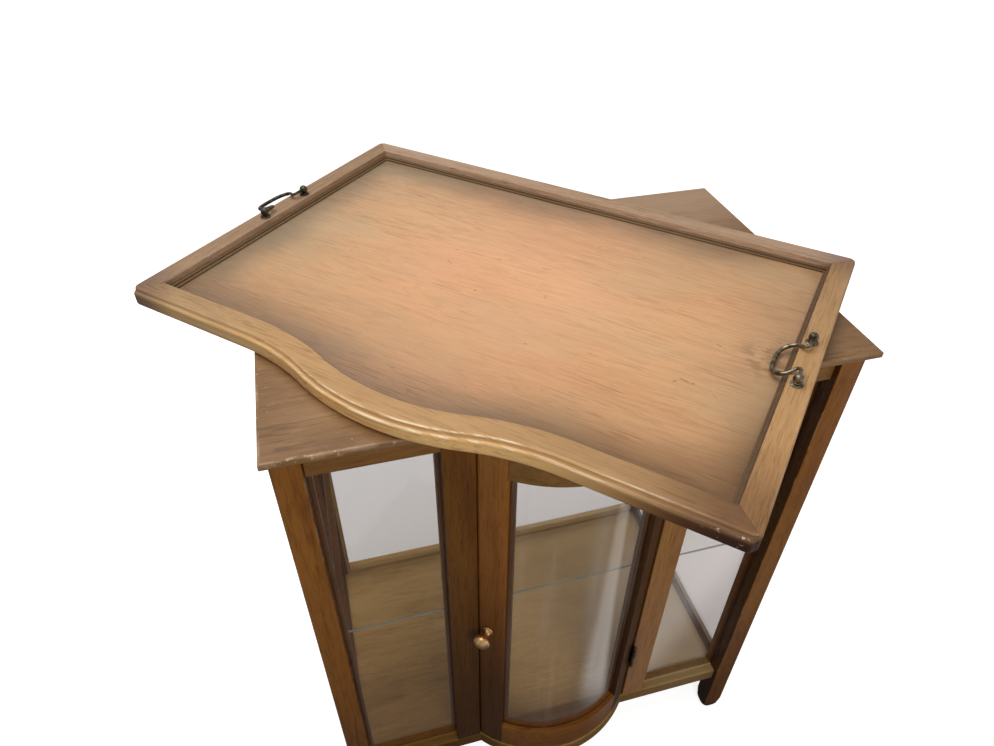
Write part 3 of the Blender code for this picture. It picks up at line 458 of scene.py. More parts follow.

# Tints that multiply the woods
# Painted shade on the legs: towards the floor, and on the faces towards the panes
LEG_SHADE = (0.42, 0.36, 0.34)
FOOT_DIRT = (0.66, 0.58, 0.52)
LEG_INSIDE_SHADE = (0.26, 0.24, 0.24)
TOP_BORDER = (0.78, 0.73, 0.68)
BASE_CLOUD = (0.62, 0.56, 0.46)
# Painted shade on the front left of the base's floor
BASE_FRONT_LEFT_SHADE = (0.46, 0.40, 0.28)
BASE_LIP = (0.58, 0.52, 0.44)
BASE_EDGE = (0.60, 0.55, 0.52)
RIM_FURROW = (0.55, 0.47, 0.38)
RIM_NOSE = (0.46, 0.33, 0.26)
# Painted shade in the rim's groove
RIM_GROOVE_SHADE = (0.45, 0.37, 0.30)
# Painted shade over the rim's arrises
RIM_ARRIS_SHADE = (0.72, 0.67, 0.62)
DARK_CORNER = (0.47, 0.41, 0.38)
DARK_NOSE = (0.30, 0.23, 0.19)
BEAD_RIGHT = (0.85, 0.80, 0.76)
# Painted shade on the panel, falling off from its middle
PANEL_BROAD_SHADE = (0.82, 0.87, 0.90)
PANEL_BORDER = (0.55, 0.61, 0.69)
PANEL_CORNER_BORDER = (0.44, 0.43, 0.38)
# Painted shade towards the panel's front, left and right
PANEL_FRONT_SHADE = (0.88, 0.845, 0.80)
PANEL_FRONT_EDGE_SHADE = (0.95, 0.93, 0.91)
PANEL_LEFT_SHADE = (0.90, 0.97, 0.97)
PANEL_RIGHT_SHADE = (0.92, 0.94, 0.90)
# Painted shadow of the right handle, with scuff marks in it
PANEL_SHADOW_AND_SCUFF = (0.52, 0.50, 0.46)
# Dirt in the joint with the bead, and painted shade of that corner
PANEL_JOINT_DIRT_AND_SHADE = (0.70, 0.66, 0.62)

# Places on the tray, and the tones of its rim near the corners: rail, corner, reach, core, tint
FRONT_V = -TRAY_DEPTH / 2
RIGHT_FRONT = on_tray(TRAY_WIDTH / 2, FRONT_V, TRAY_HIGH)
RIGHT_BACK = on_tray(TRAY_WIDTH / 2, -FRONT_V, TRAY_HIGH)
LEFT_FRONT = on_tray(-TRAY_WIDTH / 2, FRONT_V, TRAY_HIGH)
WORN_FRONT = on_tray(0.14, FRONT_V - SERPENTINE_DEPTH / 2, TRAY_HIGH)
RIM_TONES = (
    ("front", RIGHT_FRONT, 0.300, 0.080, (0.78, 0.77, 0.78)),
    ("front", LEFT_FRONT, 0.240, 0.060, (0.84, 0.88, 0.97)),
    ("right", RIGHT_BACK, 0.300, 0.080, (0.88, 0.89, 0.95)),
    ("every", LEFT_FRONT, 0.075, 0.015, (0.66, 0.64, 0.68)),
    ("every", RIGHT_BACK, 0.070, 0.010, (0.62, 0.62, 0.70)),
)


def frame_wood(axis, seed, tone=1.0, low_shade=1.0, colours=FRAME_WOOD):
    """Red-brown frame wood; the low factor paints shade on upright pieces, darker towards the floor."""
    look = Wood(f"frame_wood_{axis}_{seed}", [scaled(c, tone) for c in colours], axis, seed)
    if low_shade < 1.0:
        # Painted shade, darker towards the floor
        low_shade_tint = (low_shade, low_shade * 0.94, low_shade * 0.92)
        look.darken(low_shade_tint, look.span(look.axis(look.place(), 2), 0.66, 0.24))
    return look.done(sheen=0.20)


def leg_wood(seed, inward):
    """Legs: rubbed arrises, painted shade on the faces towards the panes and towards the floor, and dirt on
    the feet.
    """
    look = Wood(f"leg_wood_{seed}", FRAME_WOOD, "z", seed, streak=1.15)
    height = look.axis(look.place(), 2)
    # Painted shade towards the floor and on the faces towards the panes; the feet get dirt
    look.darken(LEG_SHADE, look.span(height, 0.40, 0.02, 0.0, 0.62))
    look.darken(FOOT_DIRT, look.span(height, 0.030, 0.004))
    look.darken(LEG_INSIDE_SHADE, look.span(look.facing(inward), 0.5, 0.9))
    rubbed = look.patch(26, 90, 0.52, 0.66, 4, 0.6)
    look.wear(RUBBED_LEG, look.value("wear"), rubbed, 0.55)
    return look.done(sheen=0.20)


def top_wood():
    """The top board: taupe brown, paler at the back from a painted sheen, with pale chips along its edges."""
    look = Wood("top_wood", TOP_WOOD, "x", 3, streak=0.75, line=0.50, fleck=0.30)
    edge = look.value("edge")
    look.darken(TOP_BORDER, look.span(edge, 0.060, 0.0))
    # Painted sheen, paler towards the back
    look.stain(TOP_BACK_SHEEN, look.span(look.axis(look.place(), 1), 0.02, 0.17, 0.0, 0.6))
    worn = look.near(on_cabinet(-TOP_WIDTH / 2, 0.0, HEIGHT), 0.30, 0.02)
    worn = look.math("ADD", look.times(worn, 0.75), 0.12)
    chips = look.span(look.noise(look.where, (95, 210, 95), 4, 0.65), 0.57, 0.63)
    look.wear(BARE_WOOD, chips, look.span(edge, 0.0026, 0.0004), worn, 0.60)
    rubbed = look.patch(26, 26, 0.42, 0.62, 4, 0.6)
    look.wear(RUBBED_TOP, rubbed, look.span(edge, 0.0018, 0.0), worn, 0.6)
    specks = look.patch(230, 300, 0.69, 0.75, 3, 0.5)
    look.wear(BARE_WOOD, specks, look.span(edge, 0.040, 0.0), worn)
    return look.done(0.14)


def base_wood():
    """The base board: painted far brighter than its wood to stand in for the light the cabinet's shade takes,
    with painted shade at the front left, painted light at the back and right, and a darker lip and side
    faces.
    """
    look = Wood("base_wood", BASE_WOOD, "x", 5, streak=0.7, rough=0.60)
    look.darken(BASE_CLOUD, look.patch(9, 22, 0.48, 0.70, 3, 0.6), 0.5)
    # Painted shade at the front left of the floor
    look.darken(BASE_FRONT_LEFT_SHADE, look.near(on_cabinet(-0.23, 0.06, BASE_TOP_Z), 0.26, 0.06))
    # Painted pools of light at the back and the right of the floor
    look.stain(BASE_BACK_LIGHT, look.near(on_cabinet(0.16, 0.30, BASE_TOP_Z), 0.34, 0.12), 0.55)
    look.stain(BASE_RIGHT_LIGHT, look.near(on_cabinet(0.26, 0.15, BASE_TOP_Z), 0.20, 0.06), 0.75)
    front = CABINET.translation.y + FRAME_FRONT_Y
    # The lip and the faces that do not face up stand outside the cabinet's shade, so they are taken back down
    # from the painted light
    look.darken(BASE_LIP, look.span(look.axis(look.place(), 1), front + 0.016, front + 0.010))
    look.darken(BASE_EDGE, look.span(look.facing((0.0, 0.0, 1.0)), 0.8, 0.3))
    return look.done(0.25, 0.12)


def rim_wood(name, axis, seed, tint):
    """The tray's rim: golden where hands have rubbed it and, on the outer face, from painted light as well;
    per-rail tints of painted light and shade, pale worn arrises, painted shade in its groove and over some
    arrises, and dark near its corners.

    Its points carry rubbed (along the rail) and wear, outer and groove (across its section).
    """
    # The rail's tint is painted light and shade
    colours = [tuple(np.multiply(c, tint)) for c in RIM_WOOD]
    look = Wood(f"rim_wood_{name}", colours, axis, seed, streak=0.7, rough=0.48, line=0.55, fleck=0.36,
                fine=1.4)
    rubbed = look.value("rubbed")
    outer = look.value("outer")
    wear = look.value("wear")
    # Golden: rubbed wood, and on the outer face painted light as well
    golden = look.times(rubbed, look.math("ADD", look.times(outer, 0.86), 0.12))
    look.stain(GOLDEN_RIM, golden)
    look.wear(SCRATCHED_RIM, look.patch(9, 480, 0.50, 0.62, 3, 0.6), golden, 0.45)
    look.darken(RIM_FURROW, look.patch(12, 360, 0.52, 0.66, 3, 0.6), golden, 0.55)
    nose = look.span(outer, 0.45, 1.0)
    look.darken(RIM_NOSE, look.inverse(rubbed), nose, 0.95)
    scuffed = look.near(WORN_FRONT, 0.30, 0.12)
    pale = look.times(look.patch(16, 260, 0.42, 0.60, 5, 0.65),
                      look.math("ADD", look.times(scuffed, 0.85), 0.15))
    look.wear(WORN_RIM, wear, pale)
    look.wear(CHIPPED_RIM, look.patch(120, 120, 0.66, 0.70, 4, 0.6), wear, 0.8)
    # Painted shade in the groove, deeper near the worn front
    groove_shade = look.span(look.near(WORN_FRONT, 0.32, 0.10), 0.0, 1.0, 0.10, 0.55)
    look.darken(RIM_GROOVE_SHADE, look.value("groove"), groove_shade)
    # Painted shade over the arrises away from the worn front, dulling their highlight
    look.darken(RIM_ARRIS_SHADE, wear, look.inverse(scuffed), 0.5)
    look.darken(DARK_CORNER, look.near(RIGHT_FRONT, 0.130, 0.02))
    look.darken(DARK_NOSE, nose, look.near(RIGHT_FRONT, 0.200, 0.06))
    knocks = look.times(look.patch(110, 190, 0.60, 0.65, 4, 0.70), look.near(RIGHT_FRONT, 0.055, 0.030))
    look.wear(KNOCKED_RIM, knocks, look.span(outer, 0.25, 0.6), 0.75)
    for rail, corner, reach, core, tone in RIM_TONES:
        if rail in (name, "every"):
            look.darken(tone, look.near(corner, reach, core))
    return look.done(0.3, 0.24)


def panel_wood():
    """Pale veneer, toned to taupe along the rim, with painted shade falling off from the middle to the front
    and sides, a painted shadow beside the right handle, a soft cathedral figure and a few marks.
    """
    look = Wood("panel_wood", PANEL_WOOD, "u", 1, streak=0.28, pore=0.35, rough=0.40, line=0.48, fleck=0.34,
                fine=1.8)
    rings = look.math("SINE", look.times(look.grain(3.2, 26, 2, 0.5, 1.6), 46))
    look.stain(PANEL_FIGURE, look.span(rings, 0.0, 1.0, 0.0, 0.22))
    middle = look.near(on_tray(0.0, -0.02, PANEL_TOP_Z), 0.24, 0.05)
    look.stain(PANEL_BLUSH, middle, look.patch(9, 26, 0.42, 0.60, 4, 0.6), 0.4)
    look.stain(PANEL_HONEY, look.patch(5, 8, 0.40, 0.66, 3, 0.55), 0.45)
    edge = look.value("edge")
    wander = look.math("SUBTRACT", look.grain(7, 14, 3, 0.55), 0.5)
    reach = look.math("ADD", edge, look.times(wander, 0.045))
    # Painted shade, broad, falling off from the middle
    look.darken(PANEL_BROAD_SHADE, look.span(reach, 0.150, 0.030))
    on_panel = look.along("u", 0)
    to_right = look.axis(on_panel, 0)
    to_back = look.axis(on_panel, 1)
    # Painted shade towards the front, left and right
    look.darken(PANEL_FRONT_SHADE, look.span(to_back, 0.02, -0.21))
    look.darken(PANEL_LEFT_SHADE, look.span(to_right, -0.04, -0.26))
    look.darken(PANEL_RIGHT_SHADE, look.span(to_right, 0.06, 0.20))
    elsewhere = look.inverse(look.near(RIGHT_FRONT, 0.20, 0.08))
    eased = look.times(look.span(to_right, 0.20, 0.30, 0.0, 0.75), elsewhere)
    border = look.mix(look.near(RIGHT_FRONT, 0.36, 0.10), PANEL_BORDER, PANEL_CORNER_BORDER)
    look.darken(border, look.span(reach, 0.064, 0.002), look.inverse(eased))
    # Painted shade near the front edge
    look.darken(PANEL_FRONT_EDGE_SHADE, look.span(to_back, -0.150, -0.235))
    # Painted shadow beside the right handle, with scuff marks
    by_handle = look.near(on_tray(POST_U - 0.032, 0.004, PANEL_TOP_Z), 0.052, 0.010)
    look.darken(PANEL_SHADOW_AND_SCUFF, by_handle, look.patch(60, 120, 0.40, 0.62, 4, 0.65), 0.75)
    # Darker along the bead: dirt in the joint and painted shade of the corner
    look.darken(PANEL_JOINT_DIRT_AND_SHADE, look.span(edge, 0.010, 0.0, 0.0, 0.5))
    look.stain(PANEL_MARK, look.patch(46, 130, 0.715, 0.745, 3, 0.5, 0.8), 0.55)
    return look.done(0.18)


def tray_bead_wood():
    # Painted shade: the bead is far darker than the rim wood it matches, standing in for the shade of the
    # corner between rim and panel
    look = Wood("tray_bead_wood", [scaled(c, 0.27) for c in RIM_WOOD], "u", 9, streak=0.8)
    look.wear(RUBBED_BEAD, look.value("wear"), 0.22)
    look.darken(BEAD_RIGHT, look.near(on_tray(TRAY_WIDTH / 2, 0.0, PANEL_TOP_Z), 0.30, 0.22))
    return look.done(0.2)


def metal(name, dark, bright, rough, scale):
    """Aged metal: dark patina and rubbed bright patches, laid out by noise."""
    look = Look(name)
    cloud = look.noise(look.place(), (scale, scale, scale), 5, 0.6)
    grain = look.noise(look.place(), (scale * 7, scale * 7, scale * 7), 3, 0.6)
    rub = look.span(look.math("ADD", cloud, look.times(grain, 0.25)), 0.48, 0.78)
    colour = look.mix(rub, dark, bright)
    roughness = look.span(cloud, 0.3, 0.7, rough + 0.12, rough - 0.06)
    look.bump(grain, 0.2, 0.0003)
    return look.principled({"Base Color": colour, "Roughness": roughness, "Metallic": 1.0})


def glass(name, tint, ripple=0.0, ground=None, smear=0.0):
    """Clear glass that lamps and bounced light pass straight through.

    ripple is the height of its waves, smear the strength of wiping marks, ground the colour of ground edges.
    """
    look = Look(name)
    look.principled({"Base Color": tint, "Transmission Weight": 1.0, "Roughness": 0.0, "IOR": 1.47})
    if ripple:
        look.bump(look.noise(look.place(), (9, 9, 3), 2, 0.5), 1, ripple)
    path = look.node("ShaderNodeLightPath").outputs
    through = look.most(path["Is Shadow Ray"], path["Is Diffuse Ray"])
    surface = look.blend(through, look.shader.outputs[0], look.plain("Transparent", tint))
    if smear:
        streaks = look.span(look.noise(look.place(), (34, 34, 1.6), 2, 0.5), 0.46, 0.74)
        surface = look.blend(look.times(streaks, smear), surface, look.plain("Diffuse", (0.80, 0.80, 0.78)))
    if ground:
        frosted = look.blend(0.5, look.plain("Diffuse", ground), look.plain("Translucent", ground))
        surface = look.blend(look.value("ground"), surface, frosted)
    return look.surface(surface)


PANE_TINT = (0.900, 0.874, 0.876)
BRONZE = metal("bronze", (0.042, 0.034, 0.023), (0.260, 0.218, 0.155), 0.32, 160.0)
# Painted shade: a darker copy of the bronze for the left handle
SHADED_BRONZE = metal("shaded_bronze", (0.032, 0.027, 0.020), (0.120, 0.100, 0.070), 0.38, 160.0)
BRASS = metal("aged_brass", (0.055, 0.036, 0.018), (0.190, 0.125, 0.055), 0.44, 90.0)
KNOB = metal("knob_brass", (0.540, 0.315, 0.130), (0.830, 0.540, 0.260), 0.34, 110.0)
HANDLE_METAL = {"left": SHADED_BRONZE, "right": BRONZE}
PANE = glass("pane_glass", PANE_TINT, 0.00003)
BENT = glass("bent_glass", PANE_TINT, 0.00025, smear=0.07)
SHELF = glass("shelf_glass", (0.94, 0.96, 0.94), ground=(0.37, 0.39, 0.30))
# Lit and shaded copies of the frame wood: left and right stiles and posts differ in tone and in painted shade
# towards the floor
STILE_WOODS_BY_LIGHT = {"left": frame_wood("z", 11, 1.2, 0.27), "right": frame_wood("z", 17, 0.26, 0.80)}
POST_WOODS_BY_LIGHT = {"left": frame_wood("z", 12, 0.56, 0.50), "right": frame_wood("z", 16, 1.45, 0.95, HONEY_WOOD)}
RAIL_WOOD = frame_wood("x", 13, 0.84, colours=HONEY_WOOD)
SIDE_RAIL_WOOD = frame_wood("y", 14)
GLAZING_BEAD_WOOD = frame_wood("z", 15, 0.6)
BACK_BEAD_WOOD = frame_wood("x", 18, 0.72, colours=BASE_WOOD)
DOOR_RAIL_WOOD = frame_wood("x", 19, 0.92)


# Cabinet pieces
def on_bow(radius, angle, *height):
    """A point of the bowed front; angle 0 is the middle and positive runs right."""
    return (radius * math.sin(angle), BOW_CENTRE_Y - radius * math.cos(angle), *height)


def bow(radius, reach, steps):
    """The bowed front in plan, from angle -reach to reach."""
    return [on_bow(radius, angle) for angle in np.linspace(-reach, reach, steps + 1)]


def rounded_square(half, radius, steps=4):
    """A square with round corners in plan, and its wear, which peaks in the middle of each corner."""
    points = []
    for quarter, (sign_x, sign_y) in enumerate(((1, 1), (-1, 1), (-1, -1), (1, -1))):
        middle = (sign_x * (half - radius), sign_y * (half - radius))
        points += arc(middle, radius, quarter * QUARTER, (quarter + 1) * QUARTER, steps)
    return points, [math.sin(math.pi * i / steps) for i in range(steps + 1)] * 4


def build_legs():
    half = LEG_SIZE / 2
    levels = [(rise, half - inset) for rise, inset in round_over(FOOT_ROUND, 12)]
    levels += [(z, half) for z in np.linspace(FOOT_HIGH, TOP_UNDER_Z, 12)]
    rows = (("front", LEG_FRONT_Y + half), ("back", LEG_BACK_Y - half))
    seed = 20
    for row, y in rows:
        for side, sign in SIDES:
            x = sign * (LEG_OUTER_X - half)
            loops, wear = [], []
            for z, reach in levels:
                radius = LEG_ARRIS + FOOT_PLAN_ROUND * (1 - smoothstep(z, 0.0, FOOT_HIGH))
                points, values = rounded_square(reach, min(radius, reach * 0.95))
                loops.append([(x + px, y + py, z) for px, py in points])
                wear += values
            wood = leg_wood(seed, (-sign, 0.0, 0.0))
            add(f"leg_{row}_{side}", stack(loops), CABINET, "cabinet", "frame_wood", wood, wear=wear)
            seed += 1


def top_outline(inset):
    """The top board in plan, drawn in by inset."""
    half = TOP_WIDTH / 2 - inset
    back = TOP_DEPTH - inset
    radius = TOP_BOW_R - inset
    reach = math.acos((BOW_CENTRE_Y - inset) / radius)
    start = -radius * math.sin(reach)
    left = [(-half, y) for y in np.linspace(back, inset, 17)[:-1]]
    left += [(x, inset) for x in np.linspace(-half, start, 13)[:-1]]
    across = [(x, back) for x in np.linspace(half, -half, 25)[1:-1]]
    return left + bow(radius, reach, 40) + mirror(left) + across


def build_top_board():
    """The top board; each point carries its distance from the upper edge."""
    under_edge = 0.002
    rounding = round_over(TOP_ROUND, 5)
    levels = [(HEIGHT - TOP_THICK + rise, inset, under_edge) for rise, inset in rounding]
    levels += [(HEIGHT - rise, inset, 0.0) for rise, inset in reversed(rounding)]
    insets = (0.003, 0.006, 0.010, 0.018, 0.030, 0.050, 0.080)
    levels += [(HEIGHT, inset, inset - TOP_ROUND) for inset in insets]
    loops, edge = layers(top_outline, levels)
    add("top_board", stack(loops), CABINET, "cabinet", "top_wood", top_wood(), edge=edge)


def build_base():
    """The base board, notched round the legs and bowed under the door."""
    x_in = LEG_OUTER_X - LEG_SIZE - GAP
    y_front = LEG_FRONT_Y + LEG_SIZE + GAP
    y_back = LEG_BACK_Y - LEG_SIZE - GAP
    start = BASE_BOW_R * math.sin(math.acos((BOW_CENTRE_Y - FRAME_FRONT_Y) / BASE_BOW_R))
    behind = [(x_in, y_front), (FRAME_SIDE_X, y_front), (FRAME_SIDE_X, y_back), (x_in, y_back)]

    def outline(inset):
        front = FRAME_FRONT_Y + inset
        radius = BASE_BOW_R - inset
        reach = math.acos((BOW_CENTRE_Y - front) / radius)
        right = [(x, front) for x in np.linspace(start, x_in, 9)[1:]] + behind + [(x_in, FRAME_BACK_Y)]
        return bow(radius, reach, 56) + right + mirror(right)

    levels = [(BASE_LOW_Z + rise, inset) for rise, inset in round_over(BASE_ROUND, 6)]
    levels += [(BASE_LOW_Z + BASE_TOP_Z - z, inset) for z, inset in reversed(levels)]
    shape = stack(layers(outline, levels)[0])
    add("base_board", shape, CABINET, "cabinet", "base_wood", base_wood())


def bent_bar(profile, ends, steps=56):
    """A (radius, height) profile swept round the bow; ends gives the end angle at a radius."""
    sweep = np.linspace(-1.0, 1.0, steps + 1)
    return stack([[on_bow(r, t * ends(r), z) for r, z in profile] for t in sweep])


def bar_profile(low_z, high_z, notch=None):
    """The section of a bowed rail: softened outer corners, and a rebate for the glass inside."""
    middle_r = DOOR_OUTER_R - DOOR_ARRIS
    profile = arc((middle_r, low_z + DOOR_ARRIS), DOOR_ARRIS, -QUARTER, 0.0, 4)
    profile += arc((middle_r, high_z - DOOR_ARRIS), DOOR_ARRIS, 0.0, QUARTER, 4)
    if notch == "above":
        profile += [(REBATE_R, high_z), (REBATE_R, high_z - REBATE_WIDE)]
        high_z -= REBATE_WIDE
    profile.append((DOOR_INNER_R, high_z))
    if notch == "below":
        shoulder_z = low_z + REBATE_WIDE
        return profile + [(DOOR_INNER_R, shoulder_z), (REBATE_R, shoulder_z), (REBATE_R, low_z)]
    return profile + [(DOOR_INNER_R, low_z)]


def catch_place():
    middle_r = (DOOR_OUTER_R + DOOR_INNER_R) / 2
    return CATCH_X, BOW_CENTRE_Y - math.sqrt(middle_r ** 2 - CATCH_X ** 2)


def build_bowed_rail():
    """The rail over the door, with the recess for the catch's strike."""
    end_x = POST_INNER_X - GAP
    shape = bent_bar(bar_profile(TOP_RAIL_LOW_Z, TOP_UNDER_Z), lambda r: math.asin(end_x / r))
    rail = add("top_rail_bow", shape, CABINET, "cabinet", "frame_wood", RAIL_WOOD)
    x, y = catch_place()
    half = STRIKE_HALF + GAP
    levels = (TOP_RAIL_LOW_Z - 0.002, TOP_RAIL_LOW_Z + STRIKE_THICK + GAP)
    cut(rail, stack([rectangle(x - half, y - half, x + half, y + half, z) for z in levels]))


def stile_outline(end_x):
    """A right-hand door stile in plan, with softened front corners and the rebate for the glass."""
    outer = math.asin(end_x / DOOR_OUTER_R)
    inner = math.asin(end_x / DOOR_INNER_R)
    arris_angle = DOOR_ARRIS / DOOR_OUTER_R
    glass_angle = STILE_ANGLE + REBATE_ANGLE
    polar = [(DOOR_OUTER_R - rise, STILE_ANGLE + inset / DOOR_OUTER_R)
             for rise, inset in reversed(round_over(DOOR_ARRIS, 5))]
    face = np.linspace(STILE_ANGLE + arris_angle, outer - 1.4 * arris_angle, 14)[1:]
    polar += [(DOOR_OUTER_R, angle) for angle in face]
    front = [on_bow(r, angle) for r, angle in polar]
    x, y = front[-1]
    last_y = BOW_CENTRE_Y - DOOR_OUTER_R * math.cos(outer) + DOOR_ARRIS
    front += [((x + end_x) / 2 + DOOR_ARRIS * 0.2, (y + last_y) / 2 - DOOR_ARRIS * 0.12), (end_x, last_y)]
    polar = [(DOOR_INNER_R, angle) for angle in np.linspace(inner, glass_angle, 10)]
    polar += [(REBATE_R, glass_angle), (REBATE_R, STILE_ANGLE)]
    return front + [on_bow(r, angle) for r, angle in polar]


def build_door():
    for side, end_x, sign in (("left", -DOOR_LEFT_X, -1), ("right", DOOR_RIGHT_X, 1)):
        outline = stile_outline(end_x)
        loops = [[(sign * x, y, z) for x, y in outline] for z in np.linspace(DOOR_LOW_Z, DOOR_TOP_Z, 8)]
        add(f"door_stile_{side}", stack(loops), CABINET, "door", "frame_wood", STILE_WOODS_BY_LIGHT[side])
    shape = bent_bar(bar_profile(DOOR_TOP_RAIL_LOW_Z, DOOR_TOP_Z, "below"), lambda r: RAIL_ANGLE)
    top_rail = add("door_rail_top", shape, CABINET, "door", "frame_wood", RAIL_WOOD)
    socket = arc(catch_place(), CATCH_R + GAP, 0.0, 2 * math.pi, 24)[:-1]
    levels = (DOOR_TOP_Z - CATCH_DEEP - GAP, DOOR_TOP_Z + 0.002)
    cut(top_rail, stack([[(x, y, z) for x, y in socket] for z in levels]))
    shape = bent_bar(bar_profile(DOOR_LOW_Z, DOOR_BOTTOM_RAIL_TOP_Z, "above"), lambda r: RAIL_ANGLE)
    add("door_rail_bottom", shape, CABINET, "door", "frame_wood", DOOR_RAIL_WOOD)
    low_z = DOOR_BOTTOM_RAIL_TOP_Z - REBATE_WIDE + GLASS_CLEAR
    high_z = DOOR_TOP_RAIL_LOW_Z + REBATE_WIDE - GLASS_CLEAR
    inner_r = GLASS_R - GLASS_THICK
    pane = [(GLASS_R, low_z), (GLASS_R, high_z), (inner_r, high_z), (inner_r, low_z)]
    add("door_glass", bent_bar(pane, lambda r: GLASS_ANGLE, 80), CABINET, "door", "glass", BENT)
    build_door_bead(inner_r - GAP, low_z, high_z)


def build_door_bead(outer_r, low_z, high_z):
    """A mitred bead bent to the bow, behind the curved glass."""

    def loop(radius, drawn_in):
        turn = GLASS_ANGLE - BEAD_ANGLE * drawn_in
        low = low_z + BEAD_WIDE * drawn_in
        high = high_z - BEAD_WIDE * drawn_in
        across = np.linspace(-turn, turn, 41)
        up = np.linspace(low, high, 7)[1:-1]
        run = [(angle, low) for angle in across] + [(turn, z) for z in up]
        run += [(angle, high) for angle in reversed(across)] + [(-turn, z) for z in reversed(up)]
        return [on_bow(radius, angle, z) for angle, z in run]

    inner_r = DOOR_INNER_R + GAP
    section = ((outer_r, 0.0), (outer_r, 1.0), (inner_r + BEAD_ARRIS, 1.0), (inner_r, 0.92), (inner_r, 0.0))
    shape = stack([loop(radius, drawn_in) for radius, drawn_in in section], ring=True)
    add("door_bead", shape, CABINET, "door", "frame_wood", GLAZING_BEAD_WOOD)


def build_shelf():
    """The glass shelf, with ground arrises and a pale green edge."""
    node = NODES["shelf_glass"]
    corners = np.array([node.matrix_world @ Vector(corner) for corner in node.bound_box])
    low, high = corners.min(0), corners.max(0)
    edge_ground = 0.8
    bevel = [(SHELF_ARRIS, 0.0, 0.0), (SHELF_ARRIS * 0.3, SHELF_ARRIS * 0.3, edge_ground),
             (0.0, SHELF_ARRIS, edge_ground)]
    levels = [(low[2] + rise, inset, value) for inset, rise, value in bevel]
    levels += [(high[2] - rise, inset, value) for inset, rise, value in reversed(bevel)]
    loops, ground = layers(lambda inset: rectangle(*low[:2] + inset, *high[:2] - inset), levels)
    add("shelf_glass", stack(loops), Matrix.Identity(4), "cabinet", "glass", SHELF, 5.0, ground=ground)


def build_knob():
    """A turned mushroom knob, square to the bowed face."""
    outward = Vector((math.sin(KNOB_ANGLE), -math.cos(KNOB_ANGLE), 0.0))
    face = Vector((0.0, BOW_CENTRE_Y, KNOB_Z)) + outward * DOOR_OUTER_R
    seat = Matrix.Translation(face) @ outward.to_track_quat("Z", "Y").to_matrix().to_4x4()
    profile = [(0.0, 0.0262), (0.0035, 0.0260), (0.0068, 0.0249), (0.0094, 0.0228), (0.0108, 0.0198),
               (0.0109, 0.0172), (0.0096, 0.0150), (0.0072, 0.0132), (0.0050, 0.0112), (0.0043, 0.0085),
               (0.0046, 0.0055), (0.0060, 0.0030), (0.0072, 0.0020), (0.0074, 0.0008)]
    add("door_knob", lathe(smooth_run(profile, 4), 56), CABINET @ seat, "door", "brass", KNOB, 40.0)


# Tray pieces
def front_run(offset, half, flat_steps=8, steps=22):
    """The serpentine front from left to right, moved outward by offset."""
    step = (half - SERPENTINE_HALF) / flat_steps
    left = [(-half + step * i, FRONT_V - offset) for i in range(flat_steps)]
    left += arc((-SERPENTINE_HALF, FRONT_V - SERPENTINE_R), SERPENTINE_R - offset,
                QUARTER, QUARTER - SERPENTINE_ANGLE, steps)[:-1]
    middle = arc((0.0, FRONT_V - SERPENTINE_DEPTH + SERPENTINE_R), SERPENTINE_R + offset,
                 -QUARTER - SERPENTINE_ANGLE, -QUARTER + SERPENTINE_ANGLE, 2 * steps)
    return left + middle + mirror(left)


def rail_run(name, offset, steps=8):
    """A rail's line in plan at an offset outward from the rim's upper face, mitre to mitre.

    The moulding along the front dies into its corners; the other rails only keep a trace of it.
    """
    trace = offset * SIDE_MOULDING if offset > 0.0 else offset
    radius = max(RIM_CORNER_R + trace, 0.0006)
    cu = TRAY_WIDTH / 2 + trace - radius
    cv = TRAY_DEPTH / 2 + trace - radius
    eighth = QUARTER / 2
    slack = GAP / 2
    if name == "front":
        left = []
        for i in range(steps + 1):
            angle = (5 + i / steps) * eighth
            reach = radius + (offset - trace) * smoothstep(i / steps, 0.0, 1.0)
            left.append((-cu + reach * math.cos(angle) + slack, -cv + reach * math.sin(angle)))
        return left + front_run(offset, cu)[1:-1] + mirror(left)

    def straight(half, across, points):
        end = [(a + slack, b) for a, b in arc((-half, across), radius, 3 * eighth, QUARTER, steps)]
        return end + [(a, across + radius) for a in np.linspace(-half, half, points)[1:-1]] + mirror(end)

    if name == "back":
        return straight(cu, cv, 31)
    sign = dict(SIDES)[name]
    return [(sign * u, v) for v, u in straight(cv, cu, 23)]


def rim_profile():
    """The rim's section as (offset, height, wear, outer, groove), round from the inner top edge."""
    inner, top, step, hollow, nose = 0.0008, 0.0020, 0.0024, 0.0019, 0.0065
    under = -RIM_WIDE + PANEL_TONGUE

    def turn(middle, radius, first, last, steps, wear, outer, groove=0.0):
        run = arc(middle, radius, math.radians(first), math.radians(last), steps)
        return [(d, z, wear * math.sin(math.pi * i / steps), outer, groove) for i, (d, z) in enumerate(run)]

    return [
        *turn((-RIM_WIDE + inner, TRAY_HIGH - inner), inner, 180, 90, 3, 0.6, 0.0),
        (-RIM_WIDE + 0.004, TRAY_HIGH, 0.0, 0.0, 0.0),
        (-0.004, TRAY_HIGH, 0.0, 0.0, 0.0),
        *turn((-top, TRAY_HIGH - top), top, 90, 20, 6, 1.0, 0.15),
        *turn((hollow, RIM_STEP_Z + hollow), hollow, 200, 268, 6, 0.0, 0.4, 1.0),
        *turn((RIM_STEP_OUT - step, RIM_STEP_Z - step), step, 88, 0, 7, 1.0, 0.7),
        (RIM_STEP_OUT, 0.0120, 0.0, 1.0, 0.0),
        *turn((RIM_STEP_OUT - nose, GAP + nose), nose, 0, -90, 8, 0.0, 1.0),
        (under, GAP, 0.0, 0.8, 0.0),
        (under, PANEL_TOP_Z + GAP, 0.0, 0.0, 0.0),
        (-RIM_WIDE, PANEL_TOP_Z + GAP, 0.0, 0.0, 0.5),
    ]


